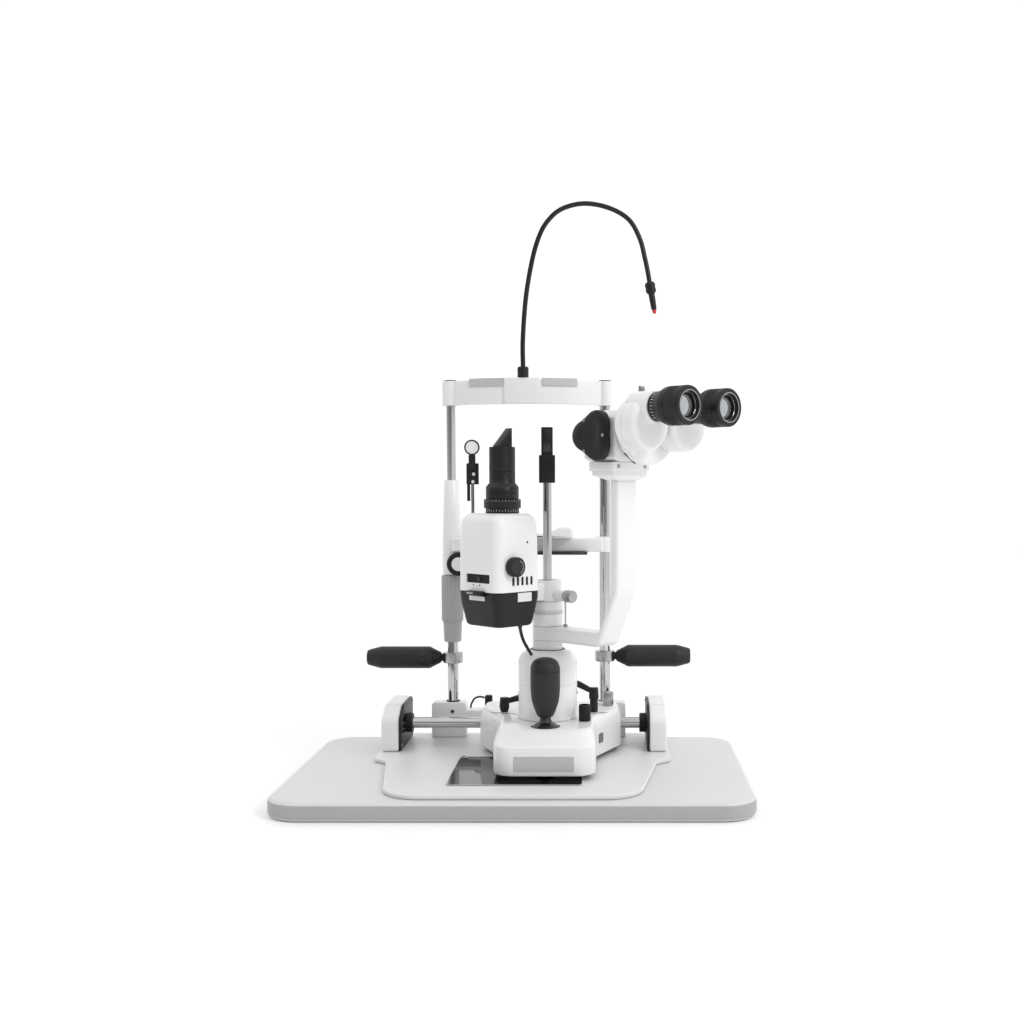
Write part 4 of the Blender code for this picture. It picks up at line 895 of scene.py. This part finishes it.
def make_lamp_trim():
    """Window, dots, blank labels and dark sheets of painted shade in the openings on the lamp's two front
    faces.
    """
    on = "lamp_housing"
    # A dark sheet behind the filter window: painted shade.
    window = rectangle(-0.0208, 0.2834, 0.0258, 0.2946, 0.001, 4)
    window_shade = prism(window, HOUSING_FAR - 0.0026, HOUSING_FAR - 0.0019)
    solid("filter_window", window_shade, "hollow", LAMP, turn=ALONG_FRONT, on=on)
    tab = block((0.001, -HOUSING_FAR + 0.0002, 0.2862), (0.007, -HOUSING_FAR + 0.002, 0.292))
    solid("filter_tab", soften(tab, 0.0005, 3), "black gloss", LAMP, on=on)
    for k, x in enumerate((-0.0062, 0.0062)):
        dot = rod(0.0011, HOUSING_FAR - 0.0002, HOUSING_FAR + 0.0001, 24)
        solid(f"filter_dot_{k}", dot, "dark print and painted slot shade", LAMP, (x, 0, 0.2806), ALONG_FRONT, on=on)
    # Dark sheets behind the vent slots and inside the side hole: painted shade.
    vent_shade = block((0.036, -0.1, 0.279), (0.0409, -0.063, 0.2925))
    solid("vent_lining", soften(vent_shade, 0.0003, 2), "hollow", LAMP, on=on)
    pit = rod(0.0016, 0.04, 0.0415, 24)
    solid("side_hole_lining", pit, "hollow", LAMP, (0, -0.0725, 0.3357), ALONG_X, on=on)
    label = rectangle(-0.015, 0.2605, 0.016, 0.2663, 0.0006, 4)
    front = prism(label, HOUSING_FAR - 0.001, HOUSING_FAR + 0.00005)
    solid("cover_label_front", front, "label", LAMP, turn=ALONG_FRONT, on="lamp_cover")
    label = rectangle(-0.0895, 0.259, -0.066, 0.2705, 0.0008, 4)
    side = prism(label, HOUSING_HALF - 0.0012, HOUSING_HALF + 0.00005)
    solid("cover_label_side", side, "label", LAMP, turn=ALONG_X, on="lamp_cover")
    for k, s in enumerate((0.06, 0.1115)):
        at, downward = (0.0235, -s, COVER_LOW + 0.0006), (math.pi, 0, 0)
        screw_head(f"cover_screw_{k}", 0.0022, 0.0006, "lamp_cover", LAMP, at, downward)


def make_lamp_controls():
    width = frame_at(LAMP, (0, -0.098, 0.3048))
    knob = knurled(0.0128, 0.0105, 0.0012, 36, 0.0004)
    solid("slit_width_knob", knob, "black plastic", width, (HOUSING_HALF + GAP, 0, 0), ALONG_X)
    cap = rod(0.0098, 0, 0.00012, MEDIUM)
    top = HOUSING_HALF + GAP + 0.0104
    solid("slit_width_cap", cap, "black gloss", width, (top, 0, 0), ALONG_X, on="slit_width_knob")
    marks = scale_ring((0.008, -0.00025, 0), (0.0094, 0.00025), 0.00018, 0.00018, 1, range(-60, 61, 15))
    solid("slit_width_marks", marks, "white print and painted glint", width, (top, 0, 0), ALONG_X, on="slit_width_knob")
    bar = soften(block((-0.0135, -0.1315, 0.2677), (0.018, -HOUSING_FAR - GAP, 0.2735)), 0.0012, 4)
    lever = solid("filter_lever", bar, "black plastic", LAMP)
    fuse(lever, block((-0.002, -0.125, 0.268), (0.0065, -0.117, 0.2708)), LAMP)
    strip = soften(block((-0.011, -0.1316, 0.2696), (0.002, -0.1311, 0.2718)), 0.0002, 2)
    solid("filter_lever_strip", strip, "steel", LAMP, on="filter_lever")


def make_lamp_tower():
    tower = frame_at(LAMP, (0, -LAMP_S, 0))
    ring = [(0.0165, 0.3793), (0.0238, 0.3793), (0.0242, 0.3797), (0.0242, 0.3904), (0.0238, 0.3908)]
    ring += [(0.0165, 0.3908)]
    solid("slit_ring", turned(ring, ring=True), "black plastic", tower)
    knurl = ribs((0.0236, -0.0006, 0.3802), (0.0242, 0.0006, 0.387), 54)
    solid("slit_ring_knurl", knurl, "grip", tower, on="slit_ring")
    low, high = (0.024, -0.00016, 0.388), (0.02426, 0.00016)
    marks = scale_ring(low, high, 0.3894, 0.3902, 3, range(0, 360, 10))
    solid("slit_ring_scale", marks, "white print and painted glint", tower, on="slit_ring")

    body = [(0, 0.373), (0.012, 0.373), (0.012, 0.3793), (0.016, 0.3793), (0.016, 0.3911)]
    body += [(0.0212, 0.3911), (0.0216, 0.3915), (0.0216, 0.3985), (0.0211, 0.3988), (0.0211, 0.3993)]
    body += [(0.0216, 0.3996), (0.0216, 0.4062), (0.021, 0.4072), (0.018, 0.411), (0.0174, 0.4116)]
    body += [(0.017, 0.4125), (0.017, 0.426), (0.0166, 0.4263), (0.0166, 0.4268), (0.017, 0.4271)]
    body += [(0.017, 0.4583), (0.0165, 0.4589), (0, 0.4589)]
    column = solid("tower_body", turned(body), "black metal", tower)
    side = [(0.011, 0.457), (0.011, 0.4603), (-0.0108, 0.4836), (-0.0125, 0.4836), (-0.0125, 0.457)]
    head = prism([(z, s) for s, z in side], -0.0056, 0.0056)
    fuse(column, soften(head, 0.0004, 2), tower, turn=ALONG_SIDE)
    face = [(0.461, 0.006), (0.479, -0.0105), (0.461, -0.0105)]
    for side, word in SIDES:
        cheek = prism(face, *sorted((side * 0.0056, side * 0.0057)))
        solid(f"prism_cheek_{word}", cheek, "black gloss", tower, turn=ALONG_SIDE, on="tower_body")


def make_fill_light():
    """A small clip-on reflector on a chrome rod beside the lamp housing."""
    facing = frame_at(LAMP, (-0.046, -0.0915, 0), (0, 0, math.radians(45)))
    solid("fill_rod", rod(0.0023, 0.335, 0.415, SMALL), "chrome", facing)
    stub = rod(0.0021, 0.388, 0.411, SMALL)
    solid("fill_stub", stub, "black plastic", facing, (-0.0055, 0, 0), on="fill_rod")
    clip = soften(block((-0.003, -0.007, 0.33), (0.0036, 0.007, 0.343)), 0.001, 3)
    solid("fill_rod_clip", clip, "black plastic", facing, turn=(0, 0, math.radians(-45)), on="fill_rod")
    clamp = soften(block((-0.008, -0.004, 0.41), (0.008, 0.004, 0.438)), 0.001, 3)
    solid("fill_clamp", clamp, "black plastic", facing, on="fill_rod")
    # The clamp's three screw heads are flat white discs: painted glints.
    for k, (x, z) in enumerate(((0.0008, 0.4135), (0.0018, 0.4236), (0.0006, 0.4337))):
        spot, at = rod(0.0022, 0, 0.0007, 24, 0.0003), (x, -0.004, z)
        solid(f"fill_clamp_screw_{k}", spot, "white print and painted glint", facing, at, ALONG_FRONT, on="fill_rod")
    neck = [(-0.0045, 0.43, 0), (0.0045, 0.43, 0), (0.0045, 0.449, 0), (-0.0045, 0.449, 0)]
    shank = soften(prism(filleted(neck), 0.0043, 0.0083), 0.0006, 2)
    head = solid("fill_reflector", shank, "black plastic", facing, turn=ALONG_FRONT)
    dish = [(0, 0.0043), (0.0094, 0.0043), (0.0102, 0.0052), (0.0102, 0.0083), (0.0088, 0.0083)]
    dish += [(0.0085, 0.0068), (0, 0.0068)]
    fuse(head, turned(dish), facing, (0, 0, 0.4588), ALONG_FRONT)
    disc = [(0, 0.0068), (0.0084, 0.0068), (0.0084, 0.0072), (0.005, 0.0076), (0, 0.0078)]
    seat = frame_at(facing, (0, 0, 0.4588), ALONG_FRONT)
    solid("fill_diffuser", turned(disc), "white plastic", seat, on="fill_reflector")


# ---------------------------------------------------------------- headrest
def make_headrest_frame():
    low, bridge, top = GLIDE_TOP + GAP, 0.06, 0.083
    half = [(0.094, bridge, 0.004), (0.094, low, 0), (0.1455, low, 0), (0.1455, top, 0.005)]
    half += [(0.094, top, 0.005), (0.094, 0.071, 0.003)]
    rest = soften(prism(filleted(mirrored(half), 8), -0.19, -0.164), 0.0012, 3, 50)
    base = solid("headrest_base", rest, "enamel", turn=ALONG_FRONT)
    top = BAND_HIGH - 0.006
    for side, word in SIDES:
        at = (side * UPRIGHT_X, UPRIGHT_Y, 0)
        cut(base, rod(UPRIGHT_R + GAP, 0.062, 0.09), at=at)
        hole = frame_at(WORLD, (side * UPRIGHT_X, 0.164, 0.069), ALONG_FRONT)
        cut(base, rod(0.003, -0.004, 0.001, 32), hole)
        screw = rod(0.0027, -0.0038, -0.0016, 6)
        solid(f"headrest_screw_{word}", screw, "dark print and painted slot shade", hole, on="headrest_base")
        collar = sleeve(UPRIGHT_R + 0.0001, 0.0102, 0.0831, 0.0845)
        solid(f"upright_collar_{word}", collar, "black plastic", at=at, on="headrest_base")
    left = [(0, 0.0623), (UPRIGHT_R, 0.0623), (UPRIGHT_R, 0.3), (0.0076, 0.3008), (0.0068, 0.302)]
    left += [(0.0068, top), (0, top)]
    solid("upright_left", turned(left), "chrome", at=(-UPRIGHT_X, UPRIGHT_Y, 0))
    solid("upright_right", rod(UPRIGHT_R, 0.0623, top), "chrome", at=(UPRIGHT_X, UPRIGHT_Y, 0))


def band_angle(x):
    return math.asin(x / BAND_R)


def make_forehead_rest():
    centre = (0, BAND_FRONT + BAND_R)
    flat = rectangle(-BAND_T, BAND_LOW, 0, BAND_HIGH, 0.0016, 4)
    reach = band_angle(0.1115)
    band = solid("forehead_band", swept_arc(flat, BAND_R, centre, -reach, reach, 64), "enamel")
    for side, word in SIDES:
        at = (side * UPRIGHT_X, UPRIGHT_Y, 0)
        fuse(band, rod(0.0127, BAND_LOW, BAND_HIGH, ROUND, 0.001), at=at)
        cut(band, rod(UPRIGHT_R + GAP, BAND_LOW - 0.01, BAND_HIGH + 0.01), at=at)
        cap = [(0, BAND_HIGH - 0.0055), (0.008, BAND_HIGH - 0.0055), (0.008, BAND_HIGH + 0.0001)]
        cap += [(0.0098, BAND_HIGH + 0.0001), (0.009, BAND_HIGH + 0.0016), (0, BAND_HIGH + 0.0019)]
        solid(f"upright_cap_{word}", turned(eased(cap, 0.0006)), "black plastic", at=at, on="forehead_band")
    over = BAND_HIGH + GAP
    clip = [(GAP, 0.552, 0.0003), (0.0018, 0.552, 0.0006), (0.0018, over + 0.0016, 0.0008)]
    clip += [(-BAND_T - 0.0035, over + 0.0016, 0.0014), (-BAND_T - 0.0035, 0.529, 0.0014)]
    clip += [(-BAND_T - GAP, 0.529, 0.0003), (-BAND_T - GAP, over, 0.0001), (GAP, over, 0.0001)]
    for word, start, stop in (("left", -0.083, -0.033), ("right", 0.024, 0.074)):
        strip = swept_arc(filleted(clip, 4), BAND_R, centre, band_angle(start), band_angle(stop), 24)
        pad = solid(f"forehead_pad_{word}", soften(strip, 0.0006, 2, 60), "pad")
    cover = [(-BAND_T / 2, BAND_LOW + 0.001, 0), (0.0024, BAND_LOW + 0.001, 0.001)]
    cover += [(0.0024, over + 0.0018, 0.001), (-BAND_T + 0.0006, over + 0.0018, 0.0006)]
    cover += [(-BAND_T + 0.0006, BAND_HIGH - 0.003, 0), (-BAND_T / 2, BAND_HIGH - 0.003, 0)]
    section = filleted(cover, 4)
    saddle = swept_arc(section, BAND_R, centre, band_angle(-0.031), band_angle(0.02), 18)
    solid("fixation_bracket", soften(saddle, 0.0005, 2, 60), "white plastic", on="forehead_band")


def make_fixation_light():
    swivel = Matrix.Translation((-0.004, BAND_FRONT + 0.0045, 0))
    low = BAND_HIGH + 0.0018 + 2 * GAP
    collar = [(0, low), (0.0082, low), (0.0082, low + 0.0045), (0.0077, low + 0.0048), (0.0077, low + 0.0055)]
    collar += [(0.0082, low + 0.0058), (0.0082, low + 0.014), (0.007, low + 0.0155), (0, low + 0.0155)]
    solid("gooseneck_collar", turned(eased(collar, 0.0005)), "black plastic", swivel)
    start = low + 0.0155 + GAP
    guides = [(0, start), (0.0000, 0.62), (0.0045, 0.678), (0.013, 0.728), (0.0225, 0.762), (0.035, 0.786)]
    guides += [(0.056, 0.8045), (0.0885, 0.8125), (0.124, 0.8065), (0.153, 0.79), (0.169, 0.763)]
    guides += [(0.1765, 0.735), (0.1808, 0.715), (0.1832, 0.701)]
    route = smooth_route([(x, 0, z) for x, z in guides], 10)
    cable("gooseneck", route, 0.0035, "black metal", swivel)
    tip = Vector((0.1832, 0, 0.701)) - Vector((0.1808, 0, 0.715))
    head_at = frame_at(swivel, (0.1832, 0, 0.701), (math.pi, math.atan2(-tip.x, -tip.z), 0))
    head = [(0, GAP), (0.0058, GAP), (0.007, 0.0022), (0.0076, 0.003), (0.0076, 0.006), (0.0071, 0.0064)]
    head += [(0.0071, 0.01), (0.0076, 0.0104), (0.0076, 0.0135), (0.006, 0.0158), (0.0045, 0.0175)]
    head += [(0.0045, 0.0285), (0.0042, 0.0288), (0.0042, 0.0294), (0.0044, 0.0297), (0.0038, 0.0395)]
    head += [(0.0034, 0.04), (0, 0.04)]
    solid("fixation_head", turned(head), "black plastic", head_at)
    lamp = [(0, 0.0401), (0.003, 0.0401), (0.003, 0.0432), (0.0025, 0.0446), (0.0017, 0.0456), (0, 0.046)]
    solid("fixation_lamp", turned(lamp), "red lamp", head_at, on="fixation_head")


def make_chin_rest():
    left, right = (-UPRIGHT_X, UPRIGHT_Y, 0), (UPRIGHT_X, UPRIGHT_Y, 0)
    knob = knurled(0.0162, 0.0705, 0.003, 18, 0.0008)
    dial = solid("chin_height_knob", knob, "grey plastic", at=(-UPRIGHT_X, UPRIGHT_Y, 0.2039), crease=24)
    cone = [(0, 0.174), (0.0124, 0.174), (0.0128, 0.1744), (0.0142, 0.208), (0, 0.208)]
    fuse(dial, turned(cone), at=left)
    cut(dial, rod(AXLE_BORE, 0.16, 0.29), at=left)

    bar = soften(block((-0.112, 0.15, CHIN_LOW), (0.112, 0.1705, CHIN_HIGH)), 0.003, 5)
    arm = solid("chin_rest_arm", bar, "enamel")
    tube = [(0, 0.276), (0.0136, 0.276), (0.0142, 0.279), (0.0142, 0.324), (0.011, 0.415)]
    tube += [(0.0107, 0.4157), (0.01, 0.416), (0, 0.416)]
    fuse(arm, turned(tube), at=left)
    cut(arm, rod(AXLE_BORE, 0.26, 0.43), at=left)
    fuse(arm, rod(0.014, CHIN_LOW - 0.001, CHIN_HIGH + 0.001, ROUND, 0.001), at=right)
    cut(arm, rod(AXLE_BORE, 0.3, 0.34), at=right)
    tray = soften(block((-0.089, 0.122, 0.3074), (0.089, 0.178, CHIN_LOW - GAP)), 0.0008, 3)
    solid("chin_tray", tray, "black plastic")

    wall, dip = 0.3465, 0.3345
    half = [(0.01, dip, 0.03), (0.032, 0.339, 0.02), (0.049, wall, 0.006), (0.067, wall, 0.005)]
    half += [(0.067, CHIN_HIGH + GAP, 0)]
    cup = soften(prism(filleted(mirrored(half), 10), -0.176, -0.122), 0.002, 4, 60)
    solid("chin_cup", cup, "white plastic", turn=ALONG_FRONT)
    for side, word in SIDES:
        peg = rod(0.0026, wall - 0.001, wall - 0.0001, 32)
        solid(f"chin_paper_pin_{word}", peg, "steel", at=(side * 0.058, 0.134, 0), on="chin_cup")

    lock = frame_at(WORLD, (-0.1018, UPRIGHT_Y - 0.0148, 0.292))
    wheel = [(0, GAP), (0.006, GAP), (0.006, 0.004), (0.0165, 0.004), (0.0175, 0.0055)]
    wheel += [(0.0175, 0.013), (0.016, 0.015), (0.0105, 0.015), (0.0105, 0.0138), (0, 0.0138)]
    solid("chin_lock_knob", turned(eased(wheel, 0.0008)), "black plastic", lock, turn=ALONG_FRONT)
    face = rod(0.0102, 0.0137, 0.0149, MEDIUM, 0.0005)
    solid("chin_lock_face", face, "white plastic", lock, turn=ALONG_FRONT, on="chin_lock_knob")


def make_hand_grips():
    for side, word, z in ((-1, "left", 0.1495), (1, "right", 0.152)):
        at = (side * UPRIGHT_X, UPRIGHT_Y, z)
        outward = (0, side * QUARTER, 0)
        name = f"hand_grip_{word}"
        shape = [(0, 0.03), (0.014, 0.03), (0.0152, 0.032), (0.0165, 0.035), (0.0165, 0.108)]
        shape += [(0.0158, 0.111), (0.012, 0.125), (0.0112, 0.1272), (0.01, 0.1285), (0, 0.1285)]
        solid(name, turned(eased(shape, 0.0015)), "grip", at=at, turn=outward)
        core = [(0, 0.01), (0.0055, 0.01), (0.0055, 0.0165), (0.0078, 0.0178), (0.0086, 0.0192)]
        core += [(0.014, 0.0299), (0, 0.0299)]
        socket = turned(eased(core, 0.0005))
        stub = solid(f"{name}_socket", socket, "black plastic", at=at, turn=outward, on=name)
        band = rod(0.0148, -0.0078, 0.0078, ROUND, 0.0008)
        clamp = solid(f"{name}_clamp", band, "steel", at=at, on=name)
        for piece in (stub, clamp):
            cut(piece, rod(UPRIGHT_R + GAP, -0.02, 0.02), at=at)
        for k, spot in enumerate((0.042, 0.045, 0.104, 0.107)):
            groove = sleeve(0.0162, 0.0166, spot - 0.0004, spot + 0.0004, ROUND)
            solid(f"{name}_band_{k}", groove, "black gloss", at=at, turn=outward, on=name)
        front = (at[0], UPRIGHT_Y - 0.0146, z)
        screw_head(f"{name}_screw", 0.003, 0.0016, name, WORLD, front, ALONG_FRONT)


# ---------------------------------------------------------------- leads
def make_leads():
    spots = [(0.012, -0.06, COVER_LOW - GAP), (0.0115, -0.059, 0.218), (0.0075, -0.05, 0.202)]
    cable("lamp_lead", smooth_route([*spots, (0.0072, -0.036, 0.1822)], 12), 0.0022, "cable", LAMP)
    top = COVER_LOW - 0.0001
    relief = eased([(0, 0.221), (0.0026, 0.221), (0.0036, 0.2256), (0.0036, top), (0, top)], 0.0004)
    solid("lamp_lead_relief", turned(relief, SMALL), "cable", LAMP, (0.012, -0.06, 0), on="lamp_lead")

    plug = soften(block((-0.0665, 0.171, 0.0713), (-0.0555, 0.183, 0.092)), 0.002, 4)
    solid("fixation_plug", plug, "black plastic")
    loop = [(-0.0674, 0.177, 0.088), (-0.074, 0.177, 0.0895), (-0.082, 0.177, 0.087)]
    loop += [(-0.087, 0.177, 0.079), (-0.0885, 0.177, 0.0728)]
    cable("fixation_lead", smooth_route(loop, 12), 0.0015, "cable")


# ---------------------------------------------------------------- stage
def make_floor():
    bm = bmesh.new()
    bmesh.ops.create_grid(bm, x_segments=1, y_segments=1, size=6)
    mesh = bpy.data.meshes.new("floor")
    bm.to_mesh(mesh)
    bm.free()
    floor = bpy.data.objects.new("floor", mesh)
    floor.location.z = -0.0005
    bpy.context.scene.collection.objects.link(floor)
    mesh.materials.append(make_look("pale floor", (0.97, 0.97, 0.97), 0.6, vary=0.005, grain=200, depth=0.0))


def area_light(name, place, target, size, power):
    data = bpy.data.lights.new(name, "AREA")
    data.shape, data.size, data.energy = "DISK", size, power
    light = bpy.data.objects.new(name, data)
    light.location = place
    light.rotation_euler = (Vector(target) - Vector(place)).to_track_quat("-Z", "Y").to_euler()
    bpy.context.scene.collection.objects.link(light)


def make_studio():
    """A bright wall and ceiling, a dimmer room in front of the object, and two soft lamps."""
    world = bpy.data.worlds.new("studio")
    world.use_nodes = True
    nodes, links = world.node_tree.nodes, world.node_tree.links
    where = nodes.new("ShaderNodeTexCoord")
    toward = nodes.new("ShaderNodeVectorMath")  # brighter to the right, behind and above
    toward.operation, toward.inputs[1].default_value = "DOT_PRODUCT", (0.6, 1.0, 1.6)
    links.new(where.outputs["Generated"], toward.inputs[0])
    spread = nodes.new("ShaderNodeMapRange")
    spread.interpolation_type = "SMOOTHSTEP"
    spread.inputs["From Min"].default_value, spread.inputs["From Max"].default_value = -0.9, 0.3
    spread.inputs["To Min"].default_value, spread.inputs["To Max"].default_value = 0.26, 1.08
    links.new(toward.outputs["Value"], spread.inputs["Value"])
    sky = nodes["Background"]
    sky.inputs["Color"].default_value = (1, 1, 1, 1)
    links.new(spread.outputs["Result"], sky.inputs["Strength"])
    bpy.context.scene.world = world
    bpy.context.scene.view_settings.view_transform = "Standard"
    middle = (0, 0, 0.35)
    area_light("key", (1.7, -1.5, 1.7), middle, 0.8, 17)
    area_light("fill", (-1.9, -1.2, 1.1), middle, 1.6, 1)

    data = bpy.data.cameras.new("camera")
    data.sensor_width, data.lens = 36, 44.13
    data.shift_x, data.shift_y = -0.0941, 0.056
    camera = bpy.data.objects.new("camera", data)
    camera.location, camera.rotation_euler = (0.1198, -1.7021, 0.4138), (math.radians(86), 0, 0)
    bpy.context.scene.collection.objects.link(camera)
    bpy.context.scene.camera = camera


def main():
    make_studio()
    make_floor()
    make_table()
    make_rails()
    make_base()
    make_base_trim()
    make_turret()
    make_joystick()
    make_controls()
    make_column()
    make_microscope_arm()
    make_magnifier()
    make_binocular()
    make_lamp_arm()
    make_lamp_housing()
    make_lamp_trim()
    make_lamp_controls()
    make_lamp_tower()
    make_fill_light()
    make_headrest_frame()
    make_forehead_rest()
    make_fixation_light()
    make_chin_rest()
    make_hand_grips()
    make_leads()


main()
